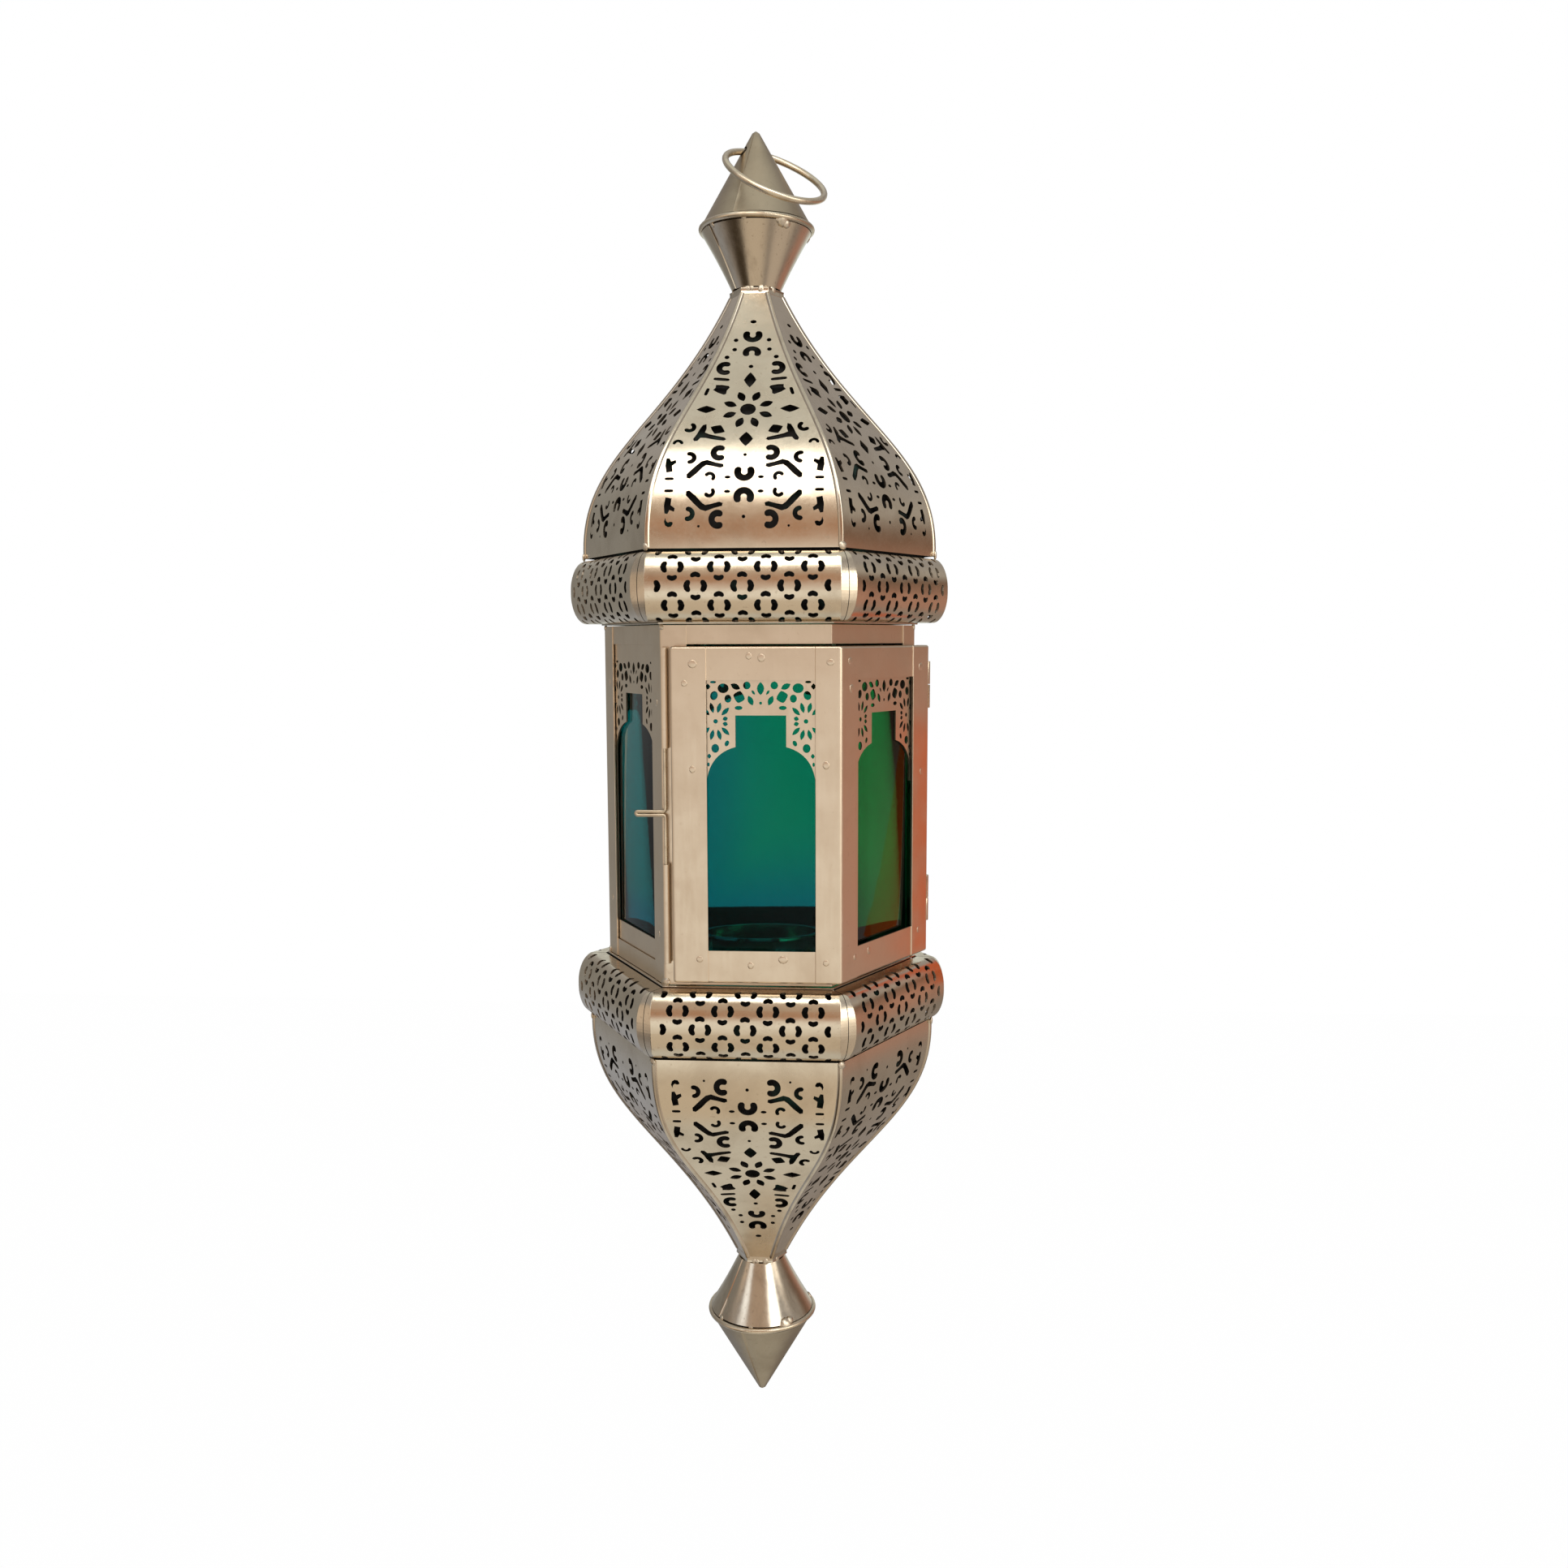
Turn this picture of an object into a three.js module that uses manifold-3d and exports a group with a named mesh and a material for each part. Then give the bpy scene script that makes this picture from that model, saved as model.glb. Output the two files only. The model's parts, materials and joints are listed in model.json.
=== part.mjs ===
// Hanging candle lantern: a six-sided glazed body with a door over two of its faces, a half-round
// moulding above and below it, an ogee dome and a matching bowl, and a double cone at each end.
// Millimetres, +Z up, the front face along -Y. The origin is on the axis where the hanging ring
// passes through the top cone, so the lantern hangs straight below it.
import * as THREE from "three";
import { mergeVertices } from "three/addons/utils/BufferGeometryUtils.js";
import Module from "manifold-3d";

const wasm = await Module();
wasm.setup();

// ---- driving dimensions; "apothem" is the distance from the axis to a face ----
const GAP = 0.3; // between pieces that touch when soldered or resting
const SHEET = 0.7; // brass-plated sheet
const FRET_SHEET = 0.6;
const GLASS = 2.0;

const BODY_APOTHEM = 53.7;
const BODY_HALF = 66.1; // half height of the glazed body
const HOOP = 7; // height of the body's top and bottom hoops
const STILE = 9.5; // width of a corner post on each face
const BODY_EDGE = BODY_APOTHEM * Math.tan(Math.PI / 6); // half width of a face

const WINDOW_SILL = 14.7 - BODY_HALF; // window of a fixed face
const WINDOW_TOP = BODY_HALF - 13.1;
const NOTCH_HALF = 9.1; // narrow top of the arched opening
const FRET_DEPTH = 12.6; // from the window's top to the notch's top
const NOTCH_DEPTH = 11.3;
const SHOULDER_DEPTH = 11.7;

const DOOR_APOTHEM = BODY_APOTHEM + 6;
const DOOR_TOP = BODY_HALF - 7.7;
const DOOR_BOTTOM = 2.3 - BODY_HALF;
const DOOR_BACK = BODY_APOTHEM + 0.6; // how far back the door's edges are folded
const DOOR_LEFT = 4.2 - BODY_EDGE; // along the front face, from its middle
const DOOR_RIGHT = BODY_EDGE + 0.8; // along the right face, from its middle
const DOOR_RAIL = 12;
const FRONT_WINDOW = [DOOR_LEFT + 12.9, BODY_EDGE - 5.9]; // along the front face
const RIGHT_WINDOW = [8.4 - BODY_EDGE, DOOR_RIGHT - 12.8];
const FRET_LEG = 5; // how far a door fret runs on below its arch, behind the stiles

const PIN_RADIUS = 0.7;
const KNUCKLE_RADIUS = 1.75;
const KNUCKLE_HEIGHT = 9;
const KNUCKLE_MEET = BODY_HALF - 23.1; // height where the body and the door knuckles meet
const PIN_FROM_EDGE = 2.2; // hinge pin, past the door's right edge
const PIN_APOTHEM = BODY_APOTHEM + 3.3;
const LEAF_WIDTH = 8;

const LATCH_RADIUS = 0.75;
const LATCH_AT = 1.5 - BODY_EDGE; // along the front face
const LATCH_SLEEVE = 1.5;
const LATCH_BORE = 1.05;
const LATCH_PULL = 11.5; // length of the hairpin
const LATCH_PULL_HEIGHT = -2;
const LATCH_PULL_SPREAD = 1.9; // between the hairpin's two wires
const LATCH_BARE = [-20.7, 21.7]; // stretch of the wire between its sleeves
const LATCH_ENDS = [8.7 - BODY_HALF, BODY_HALF - 8.1];

const CUP_RADIUS = 20; // takes a standard 38 mm tealight
const CUP_WALL = 0.8;
const CUP_HEIGHT = 13;
const VENT_RADIUS = 32;

const MOULDING_APOTHEM = BODY_APOTHEM + 12.5;
const MOULDING_HEIGHT = 24.8;
const MOULDING_ROUND = 5; // radius of its rounded edges
const MOULDING_START = BODY_HALF + 0.9; // height of the upper moulding's lower edge
const MOULDING_LIP_IN = BODY_APOTHEM + 1.3;
const MOULDING_LIP_OUT = BODY_APOTHEM + 4.8;

const DOME_APOTHEM = BODY_APOTHEM + 6.3;
const DOME_HEIGHT = 100;
const NECK_APOTHEM = 8.7;
const RIB_HALF = 1.7;
const RIB_RISE = 0.6;
const COLLAR_HEIGHT = 1.4; // above the dome's sheet
const COLLAR_LAP = 3; // down over the dome's sheet
const COLLAR_WALL = 1.4;

const FUNNEL_HEIGHT = 21.4;
const CONE_RADIUS = 21;
const CONE_HEIGHT = 35.3;
const CONE_TIP = 0.9;
const BEAD_RADIUS = 1.1; // of the wire round the widest edge
const BEAD_PROUD = 0.3; // its middle line, past the cone's edge
const NECK_RADIUS = 9.4;
const CONE_SHEET = 0.8;

const RING_RADIUS = 19.5; // of the wire's middle line
const RING_WIRE = 1.25;
const RING_HOLE = 2.3;
const RING_HOLE_DROP = 8.5; // below the cone's tip
const RING_LEAN = THREE.MathUtils.degToRad(40); // below level, where the ring rests
const RING_TURN = THREE.MathUtils.degToRad(35); // of the two holes about the axis

// ---- worked out from them ----
const COS30 = Math.cos(Math.PI / 6);
const TAN30 = Math.tan(Math.PI / 6);
const FACES = { front: 270, right: 330, back_right: 30, back: 90, back_left: 150, left: 210 };
const FIXED_FACES = ["back_right", "back", "back_left", "left"];
const POST_CORNERS = [0, 60, 120, 180, 240]; // the corner at 300 is left open for the door
const PANEL_APOTHEM = BODY_APOTHEM - SHEET - GAP;
const GLASS_APOTHEM = PANEL_APOTHEM - FRET_SHEET - GAP;
const WINDOW_HALF = BODY_EDGE - STILE;
const DOOR_FRET_APOTHEM = DOOR_APOTHEM - SHEET - GAP;
const DOOR_GLASS_APOTHEM = DOOR_FRET_APOTHEM - FRET_SHEET - GAP;
const DECK_START = BODY_HALF + GAP;
const DOME_START = MOULDING_START + MOULDING_HEIGHT + GAP + SHEET;
const NECK_START = DOME_START + DOME_HEIGHT;
const FUNNEL_START = NECK_START + COLLAR_HEIGHT + GAP;
const BEAD_START = FUNNEL_START + FUNNEL_HEIGHT + GAP;
const CONE_START = BEAD_START + 2 * BEAD_RADIUS + GAP;
const RING_HEIGHT = CONE_START + CONE_HEIGHT - RING_HOLE_DROP;
const CUP_START = -BODY_HALF; // the floor plate is just below the body

const BRASS = { color: 0xc9b89a, roughness: 0.36, metalness: 0.9 };
const DOOR_BRASS = { color: 0xd2c1a6, roughness: 0.42, metalness: 0.85 };
const WIRE = { color: 0xb9a684, roughness: 0.3, metalness: 0.95 };
const BLUE_GLASS = { color: 0x137f8a, roughness: 0.08, metalness: 0 };
const GREEN_GLASS = { color: 0x0e6b4a, roughness: 0.08, metalness: 0 };

// ---- solids ----

// A closed geometry as a solid, whichever way its faces were wound.
function solid(geometry) {
  const plain = geometry.clone();
  plain.deleteAttribute("normal");
  plain.deleteAttribute("uv");
  const merged = mergeVertices(plain, 1e-4);
  const triVerts = new Uint32Array(merged.index.array);
  const make = () =>
    new wasm.Manifold(
      new wasm.Mesh({ numProp: 3, vertProperties: merged.attributes.position.array, triVerts }),
    );
  const made = make();
  if (made.volume() > 0) return made;
  triVerts.reverse();
  return make();
}

// A solid back as a geometry.
function geometryOf(made) {
  const mesh = made.getMesh();
  const geometry = new THREE.BufferGeometry();
  geometry.setAttribute("position", new THREE.BufferAttribute(mesh.vertProperties, 3));
  geometry.setIndex(new THREE.BufferAttribute(mesh.triVerts, 1));
  geometry.computeVertexNormals();
  return geometry;
}

// A named mesh of a solid, added to its parent.
function add(parent, name, made, material) {
  const mesh = new THREE.Mesh(geometryOf(made), new THREE.MeshStandardMaterial(material));
  mesh.name = name;
  parent.add(mesh);
  return mesh;
}

// An upright prism over an outline of [x, y] points, from one height to another.
function prism(outline, bottom, top) {
  const shape = new THREE.Shape(outline.map(([x, y]) => new THREE.Vector2(x, y)));
  const geometry = new THREE.ExtrudeGeometry(shape, { depth: top - bottom, bevelEnabled: false });
  return solid(geometry.translate(0, 0, bottom));
}

// A plate of a shape drawn in a face's own plane, from one apothem out to another.
function plate(shape, inner, outer) {
  const geometry = new THREE.ExtrudeGeometry(shape, {
    depth: outer - inner,
    bevelEnabled: false,
    curveSegments: 6,
  });
  return solid(geometry.translate(0, 0, inner));
}

// A rectangle in a face's plane.
function rectangle(left, right, bottom, top) {
  return new THREE.Shape([
    new THREE.Vector2(left, bottom),
    new THREE.Vector2(right, bottom),
    new THREE.Vector2(right, top),
    new THREE.Vector2(left, top),
  ]);
}

// An upright round bar or tube.
function bar(x, y, radius, bottom, top, sides = 16) {
  const geometry = new THREE.CylinderGeometry(radius, radius, top - bottom, sides);
  return solid(geometry.rotateX(Math.PI / 2).translate(x, y, (bottom + top) / 2));
}

function tube(x, y, outer, inner, bottom, top) {
  return bar(x, y, outer, bottom, top).subtract(bar(x, y, inner, bottom - 1, top + 1));
}

// A solid turned about the axis by an outline of [radius, height] points that closes on itself.
function turned(outline, sides = 36) {
  const points = [...outline, outline[0]].map(([r, z]) => new THREE.Vector2(r, z));
  return solid(new THREE.LatheGeometry(points, sides).rotateX(Math.PI / 2));
}

// The same on six flat sides, with a corner at 0 degrees; its outline is in [apothem, height].
function hexagonal(outline) {
  const closed = [...outline, outline[0]];
  const points = closed.map(([apothem, z]) => new THREE.Vector2(apothem / COS30, z));
  return solid(new THREE.LatheGeometry(points, 6, Math.PI / 6).rotateX(Math.PI / 2));
}

function band(inner, outer, bottom, top) {
  return [
    [inner, bottom],
    [outer, bottom],
    [outer, top],
    [inner, top],
  ];
}

// The outline of a sheet along a curve of [distance, height] points, between two depths
// measured square to the curve, inwards.
function sheetOutline(curve, near, far) {
  const offset = (depth) =>
    curve.map(([r, z], i) => {
      const [r0, z0] = curve[Math.max(i - 1, 0)];
      const [r1, z1] = curve[Math.min(i + 1, curve.length - 1)];
      const length = Math.hypot(r1 - r0, z1 - z0);
      return [r - (depth * (z1 - z0)) / length, z + (depth * (r1 - r0)) / length];
    });
  return [...offset(near), ...offset(far).reverse()];
}

// The wedge over one face, from the axis out, with a margin to each corner's plane.
function wedge(angle, margin, bottom, top, reach = 90) {
  const half = (reach - margin / 0.5) * TAN30;
  const start = margin / 0.5;
  const outline = [
    [start, 0],
    [reach, half],
    [reach, -half],
  ];
  return prism(outline, bottom, top).rotate([0, 0, angle]);
}

// A bar of rectangular section from the axis out to a corner.
function cornerSlab(angle, half, bottom, top) {
  const outline = [
    [5, -half],
    [90, -half],
    [90, half],
    [5, half],
  ];
  return prism(outline, bottom, top).rotate([0, 0, angle]);
}

// A group whose x runs along a face, to the right seen from outside, y up and z outwards.
function faceGroup(parent, name) {
  const group = new THREE.Group();
  group.rotation.set(Math.PI / 2, 0, THREE.MathUtils.degToRad(FACES[name] + 90), "ZYX");
  parent.add(group);
  return group;
}

// The place in plan of a point on a face, from its distance along the face and its apothem.
function onFace(name, along, apothem) {
  const angle = THREE.MathUtils.degToRad(FACES[name]);
  return [
    apothem * Math.cos(angle) - along * Math.sin(angle),
    apothem * Math.sin(angle) + along * Math.cos(angle),
  ];
}

// ---- half shell: moulding, dome and finial, used upright above and mirrored below ----

// Middle line of the dome's sheet, as [apothem, height]: an ogee in one cubic curve.
function ogee(steps = 12) {
  const flare = DOME_APOTHEM - NECK_APOTHEM;
  const at = (rise, out) =>
    new THREE.Vector2(NECK_APOTHEM + flare * out, DOME_START + DOME_HEIGHT * rise);
  const curve = new THREE.CubicBezierCurve(
    at(0, 1),
    at(0.406, 1.03),
    at(0.498, 0.433),
    at(1, 0),
  );
  return curve.getPoints(steps).map((p) => [p.x, p.y]);
}

// Outer line of the moulding: a flat middle with a rounded edge above and below.
function mouldingLine() {
  const round = (height, from) =>
    new THREE.EllipseCurve(
      MOULDING_APOTHEM - MOULDING_ROUND,
      height,
      MOULDING_ROUND,
      MOULDING_ROUND,
      from,
      from + Math.PI / 2,
    )
      .getPoints(5)
      .map((p) => [p.x, p.y]);
  const top = MOULDING_START + MOULDING_HEIGHT;
  return [
    [MOULDING_LIP_IN, MOULDING_START],
    ...round(MOULDING_START + MOULDING_ROUND, -Math.PI / 2),
    ...round(top - MOULDING_ROUND, 0),
    [MOULDING_LIP_OUT, top],
  ];
}

function buildMoulding(parent, prefix) {
  const shell = hexagonal(sheetOutline(mouldingLine(), 0, SHEET));
  const bottom = MOULDING_START - 1;
  const top = bottom + MOULDING_HEIGHT + 2;
  for (const [face, angle] of Object.entries(FACES)) {
    const segment = shell.intersect(wedge(angle, GAP / 2, bottom, top));
    add(parent, prefix + face, segment, BRASS);
  }
}

// Six curved panels held by raised corner strips, which a collar joins at the neck.
function buildDome(parent, prefix) {
  const shell = hexagonal(sheetOutline(ogee(), 0, SHEET));
  const bottom = DOME_START - 5;
  const top = DOME_START + DOME_HEIGHT + 5;
  for (const [face, angle] of Object.entries(FACES)) {
    const panel = shell.intersect(wedge(angle, GAP / 2, bottom, top));
    add(parent, prefix + "panel_" + face, panel, BRASS);
  }
  const strip = hexagonal(sheetOutline(ogee(), -GAP - RIB_RISE, -GAP));
  const inner = NECK_APOTHEM + GAP;
  let ribs = hexagonal(
    band(inner, inner + COLLAR_WALL, NECK_START, NECK_START + COLLAR_HEIGHT),
  );
  const lap = hexagonal(band(1, DOME_APOTHEM, NECK_START - COLLAR_LAP, NECK_START + 1));
  ribs = ribs.add(strip.intersect(lap));
  for (let corner = 0; corner < 360; corner += 60) {
    ribs = ribs.add(strip.intersect(cornerSlab(corner, RIB_HALF, bottom, top)));
  }
  add(parent, prefix + "ribs", ribs, BRASS);
}

// Radius of the cone's outside at a height above its wide end.
function coneRadius(rise) {
  return THREE.MathUtils.lerp(CONE_RADIUS, CONE_TIP, rise / CONE_HEIGHT);
}

// A funnel, a wire bead round its rim and a cone on top, pierced where a ring hangs from it.
function buildFinial(parent, prefix, pierced) {
  const funnelTop = FUNNEL_START + FUNNEL_HEIGHT;
  const funnel = turned([
    [NECK_RADIUS - CONE_SHEET, FUNNEL_START],
    [NECK_RADIUS, FUNNEL_START],
    [CONE_RADIUS, funnelTop],
    [CONE_RADIUS - CONE_SHEET, funnelTop],
  ]);
  add(parent, prefix + "funnel", funnel, BRASS);

  const bead = new THREE.TorusGeometry(CONE_RADIUS + BEAD_PROUD, BEAD_RADIUS, 8, 36);
  add(parent, prefix + "rim", solid(bead.translate(0, 0, BEAD_START + BEAD_RADIUS)), WIRE);

  const tip = CONE_START + CONE_HEIGHT;
  const wall = 2 * CONE_SHEET;
  let cone = turned([
    [CONE_RADIUS - CONE_SHEET, CONE_START],
    [CONE_RADIUS, CONE_START],
    [coneRadius(CONE_HEIGHT - 1), tip - 1],
    [CONE_TIP, tip - 0.5],
    [0.01, tip],
    [0.01, tip - wall],
  ]);
  if (pierced) {
    const hole = new THREE.CylinderGeometry(RING_HOLE, RING_HOLE, 4 * RING_RADIUS, 16);
    hole.rotateZ(Math.PI / 2).rotateZ(RING_TURN).translate(0, 0, RING_HEIGHT);
    cone = cone.subtract(solid(hole));
  }
  add(parent, prefix + "cone", cone, BRASS);
}

// The wire ring, leaning forward through the cone's two holes.
function buildHangingRing(parent) {
  const chordHalf = coneRadius(CONE_HEIGHT - RING_HOLE_DROP);
  const reach = Math.sqrt(RING_RADIUS ** 2 - chordHalf ** 2); // from the chord to the middle
  const wire = new THREE.TorusGeometry(RING_RADIUS, RING_WIRE, 8, 44);
  const group = new THREE.Group();
  group.position.z = RING_HEIGHT;
  group.rotation.set(RING_LEAN - Math.PI, 0, RING_TURN, "ZYX");
  parent.add(group);
  add(group, "hanging_ring", solid(wire.translate(0, reach, 0)), WIRE);
}

// ---- glazed body ----

// The arched opening: straight sides, curved shoulders and a narrow square-headed top.
function arch(left, right, sill, top) {
  const middle = (left + right) / 2;
  const crown = top - FRET_DEPTH;
  const shoulder = crown - NOTCH_DEPTH;
  const spring = shoulder - SHOULDER_DEPTH;
  const pull = 0.8 * SHOULDER_DEPTH; // how far up the shoulder's curve stays steep
  const shape = new THREE.Shape();
  shape.moveTo(left, sill);
  shape.lineTo(right, sill);
  shape.lineTo(right, spring);
  shape.quadraticCurveTo(right - 1.5, spring + pull, middle + NOTCH_HALF, shoulder);
  shape.lineTo(middle + NOTCH_HALF, crown);
  shape.lineTo(middle - NOTCH_HALF, crown);
  shape.lineTo(middle - NOTCH_HALF, shoulder);
  shape.quadraticCurveTo(left + 1.5, spring + pull, left, spring);
  shape.closePath();
  return shape;
}

// Height at which the arch of a window with this top meets the window's sides.
function springOf(top) {
  return top - FRET_DEPTH - NOTCH_DEPTH - SHOULDER_DEPTH;
}

// Hoops above and below, joined by angle posts at every corner but the door's.
function buildCage(parent) {
  const inner = BODY_APOTHEM - SHEET;
  let cage = hexagonal(band(inner, BODY_APOTHEM, BODY_HALF - HOOP, BODY_HALF));
  cage = cage.add(hexagonal(band(inner, BODY_APOTHEM, -BODY_HALF, HOOP - BODY_HALF)));
  const shell = hexagonal(band(inner, BODY_APOTHEM, -BODY_HALF, BODY_HALF));
  for (const corner of POST_CORNERS) {
    cage = cage.add(
      shell.intersect(cornerSlab(corner, STILE * COS30, -BODY_HALF - 1, BODY_HALF + 1)),
    );
  }
  add(parent, "body_cage", cage, DOOR_BRASS);
}

// Fixed faces: a fretted plate behind the posts and a pane behind the plate.
function buildFixedFaces(parent) {
  const plateHalf = (PANEL_APOTHEM - FRET_SHEET) * TAN30 - GAP;
  const paneInner = GLASS_APOTHEM - GLASS;
  const paneHalf = paneInner * TAN30 - 1.2;
  const end = BODY_HALF - 0.6;
  for (const face of FIXED_FACES) {
    const group = faceGroup(parent, face);
    const sheet = rectangle(-plateHalf, plateHalf, -end, end);
    sheet.holes.push(arch(-WINDOW_HALF, WINDOW_HALF, WINDOW_SILL, WINDOW_TOP));
    const panel = plate(sheet, PANEL_APOTHEM - FRET_SHEET, PANEL_APOTHEM);
    add(group, "window_panel_" + face, panel, DOOR_BRASS);
    const pane = plate(rectangle(-paneHalf, paneHalf, 4 - end, end - 4), paneInner, GLASS_APOTHEM);
    add(group, "window_glass_" + face, pane, BLUE_GLASS);
  }
}

// Plates that close the body above and below, and the cup that holds the candle.
function buildDecks(parent) {
  const edge = MOULDING_LIP_IN - GAP - 0.1;
  const deckTop = DECK_START + SHEET;
  const deck = hexagonal(band(VENT_RADIUS * COS30, edge, DECK_START, deckTop));
  add(parent, "top_deck", deck, BRASS);
  const floor = turned(
    [
      [0, -deckTop],
      [edge / COS30, -deckTop],
      [edge / COS30, -DECK_START],
      [0, -DECK_START],
    ],
    6,
  ).rotate([0, 0, 30]);
  add(parent, "floor_plate", floor, BRASS);
  const inner = CUP_RADIUS - CUP_WALL;
  const cup = turned([
    [0, CUP_START],
    [CUP_RADIUS, CUP_START],
    [CUP_RADIUS, CUP_START + CUP_HEIGHT],
    [inner, CUP_START + CUP_HEIGHT],
    [inner, CUP_START + CUP_WALL],
    [0, CUP_START + CUP_WALL],
  ]);
  add(parent, "candle_cup", cup, WIRE);
}

// ---- door ----

// Plan outline of a bent strip of the door, between two apothems.
function doorPlan(inner, outer) {
  return [
    [DOOR_LEFT, -outer],
    [outer * TAN30, -outer],
    onFace("right", DOOR_RIGHT, outer),
    onFace("right", DOOR_RIGHT, inner),
    [inner * TAN30, -inner],
    [DOOR_LEFT, -inner],
  ];
}

function doorWindow(face, [left, right]) {
  const opening = rectangle(left, right, DOOR_BOTTOM + DOOR_RAIL, DOOR_TOP - DOOR_RAIL);
  const through = plate(opening, DOOR_FRET_APOTHEM, DOOR_APOTHEM + 1);
  return through.rotate([90, 0, 0]).rotate([0, 0, FACES[face] + 90]);
}

// One sheet bent round the front-right corner, with its edges folded back.
function buildDoorFrame(parent) {
  const skinInner = DOOR_APOTHEM - SHEET;
  let frame = prism(doorPlan(skinInner, DOOR_APOTHEM), DOOR_BOTTOM, DOOR_TOP);
  frame = frame.subtract(doorWindow("front", FRONT_WINDOW));
  frame = frame.subtract(doorWindow("right", RIGHT_WINDOW));
  frame = frame.add(prism(doorPlan(DOOR_BACK, DOOR_APOTHEM), DOOR_TOP - SHEET, DOOR_TOP));
  frame = frame.add(prism(doorPlan(DOOR_BACK, DOOR_APOTHEM), DOOR_BOTTOM, DOOR_BOTTOM + SHEET));
  const leftEdge = [
    [DOOR_LEFT, -DOOR_APOTHEM],
    [DOOR_LEFT + SHEET, -DOOR_APOTHEM],
    [DOOR_LEFT + SHEET, -DOOR_BACK],
    [DOOR_LEFT, -DOOR_BACK],
  ];
  const rightEdge = [
    onFace("right", DOOR_RIGHT, DOOR_APOTHEM),
    onFace("right", DOOR_RIGHT, DOOR_BACK),
    onFace("right", DOOR_RIGHT - SHEET, DOOR_BACK),
    onFace("right", DOOR_RIGHT - SHEET, DOOR_APOTHEM),
  ];
  for (const edge of [leftEdge, rightEdge]) {
    frame = frame.add(prism(edge, DOOR_BOTTOM, DOOR_TOP));
  }
  add(parent, "door_frame", frame, DOOR_BRASS);
}

// Fretwork and pane of one of the door's faces, between its edge and the bend.
function buildDoorFace(parent, face, [left, right], reach, glass) {
  const group = faceGroup(parent, face);
  const top = DOOR_TOP - SHEET - GAP;
  const windowTop = DOOR_TOP - DOOR_RAIL;
  const legs = springOf(windowTop) - FRET_LEG;
  const sheet = rectangle(...reach(DOOR_FRET_APOTHEM - FRET_SHEET), legs, top);
  const opening = plate(arch(left, right, legs - 1, windowTop), 0, DOOR_APOTHEM);
  const fret = plate(sheet, DOOR_FRET_APOTHEM - FRET_SHEET, DOOR_FRET_APOTHEM).subtract(opening);
  add(group, "door_fret_" + face, fret, DOOR_BRASS);
  const paneInner = DOOR_GLASS_APOTHEM - GLASS;
  const paneEdge = rectangle(...reach(paneInner), DOOR_BOTTOM + SHEET + 1, top - 1);
  add(group, "door_glass_" + face, plate(paneEdge, paneInner, DOOR_GLASS_APOTHEM), glass);
}

function buildDoor(parent) {
  buildDoorFrame(parent);
  const margin = 0.8; // to the bend and to the folded edges
  buildDoorFace(
    parent,
    "front",
    FRONT_WINDOW,
    (apothem) => [DOOR_LEFT + SHEET + margin, apothem * TAN30 - margin],
    BLUE_GLASS,
  );
  buildDoorFace(
    parent,
    "right",
    RIGHT_WINDOW,
    (apothem) => [margin - apothem * TAN30, DOOR_RIGHT - SHEET - margin],
    GREEN_GLASS,
  );
}

// ---- hinge and latch ----

const PIN_AT = onFace("right", DOOR_RIGHT + PIN_FROM_EDGE, PIN_APOTHEM);

// A knuckle with a leaf along the back-right face of the body.
function bodyLeaf(bottom, top) {
  const [x, y] = PIN_AT;
  const start = -BODY_APOTHEM * TAN30 + 1.6;
  const foot = BODY_APOTHEM + GAP;
  const corners = [
    onFace("back_right", start, foot),
    onFace("back_right", start + LEAF_WIDTH, foot),
    onFace("back_right", start + LEAF_WIDTH, foot + SHEET),
    onFace("back_right", start, foot + SHEET),
  ];
  const [fx, fy] = onFace("back_right", start + SHEET, foot + SHEET / 2);
  const length = Math.hypot(fx - x, fy - y);
  const [sx, sy] = [((y - fy) / length) * (SHEET / 2), ((fx - x) / length) * (SHEET / 2)];
  const strap = [
    [x + sx, y + sy],
    [fx + sx, fy + sy],
    [fx - sx, fy - sy],
    [x - sx, y - sy],
  ];
  const leaf = prism(corners, bottom, top).add(prism(strap, bottom, top));
  return leaf.add(bar(x, y, KNUCKLE_RADIUS, bottom, top));
}

// A knuckle with a leaf against the door's folded right edge.
function doorLeaf(bottom, top) {
  const [x, y] = PIN_AT;
  const near = DOOR_RIGHT + GAP;
  const corners = [
    onFace("right", near, DOOR_BACK + GAP),
    onFace("right", near + SHEET, DOOR_BACK + GAP),
    onFace("right", near + SHEET, DOOR_APOTHEM - GAP),
    onFace("right", near, DOOR_APOTHEM - GAP),
  ];
  return prism(corners, bottom, top).add(bar(x, y, KNUCKLE_RADIUS, bottom, top));
}

function buildHinge(parent) {
  const [x, y] = PIN_AT;
  const bore = bar(x, y, PIN_RADIUS + GAP + 0.05, -BODY_HALF, BODY_HALF);
  const outer = KNUCKLE_MEET + KNUCKLE_HEIGHT;
  const inner = KNUCKLE_MEET - GAP - KNUCKLE_HEIGHT;
  const places = { upper: 1, lower: -1 };
  for (const [place, side] of Object.entries(places)) {
    const bodyEnds = [side * KNUCKLE_MEET, side * outer].sort((a, b) => a - b);
    const doorEnds = [side * (KNUCKLE_MEET - GAP), side * inner].sort((a, b) => a - b);
    add(parent, "hinge_leaf_body_" + place, bodyLeaf(...bodyEnds).subtract(bore), BRASS);
    add(parent, "hinge_leaf_door_" + place, doorLeaf(...doorEnds).subtract(bore), BRASS);
  }
  add(parent, "hinge_pin", bar(x, y, PIN_RADIUS, -outer - 1, outer + 1), WIRE);
}

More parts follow.
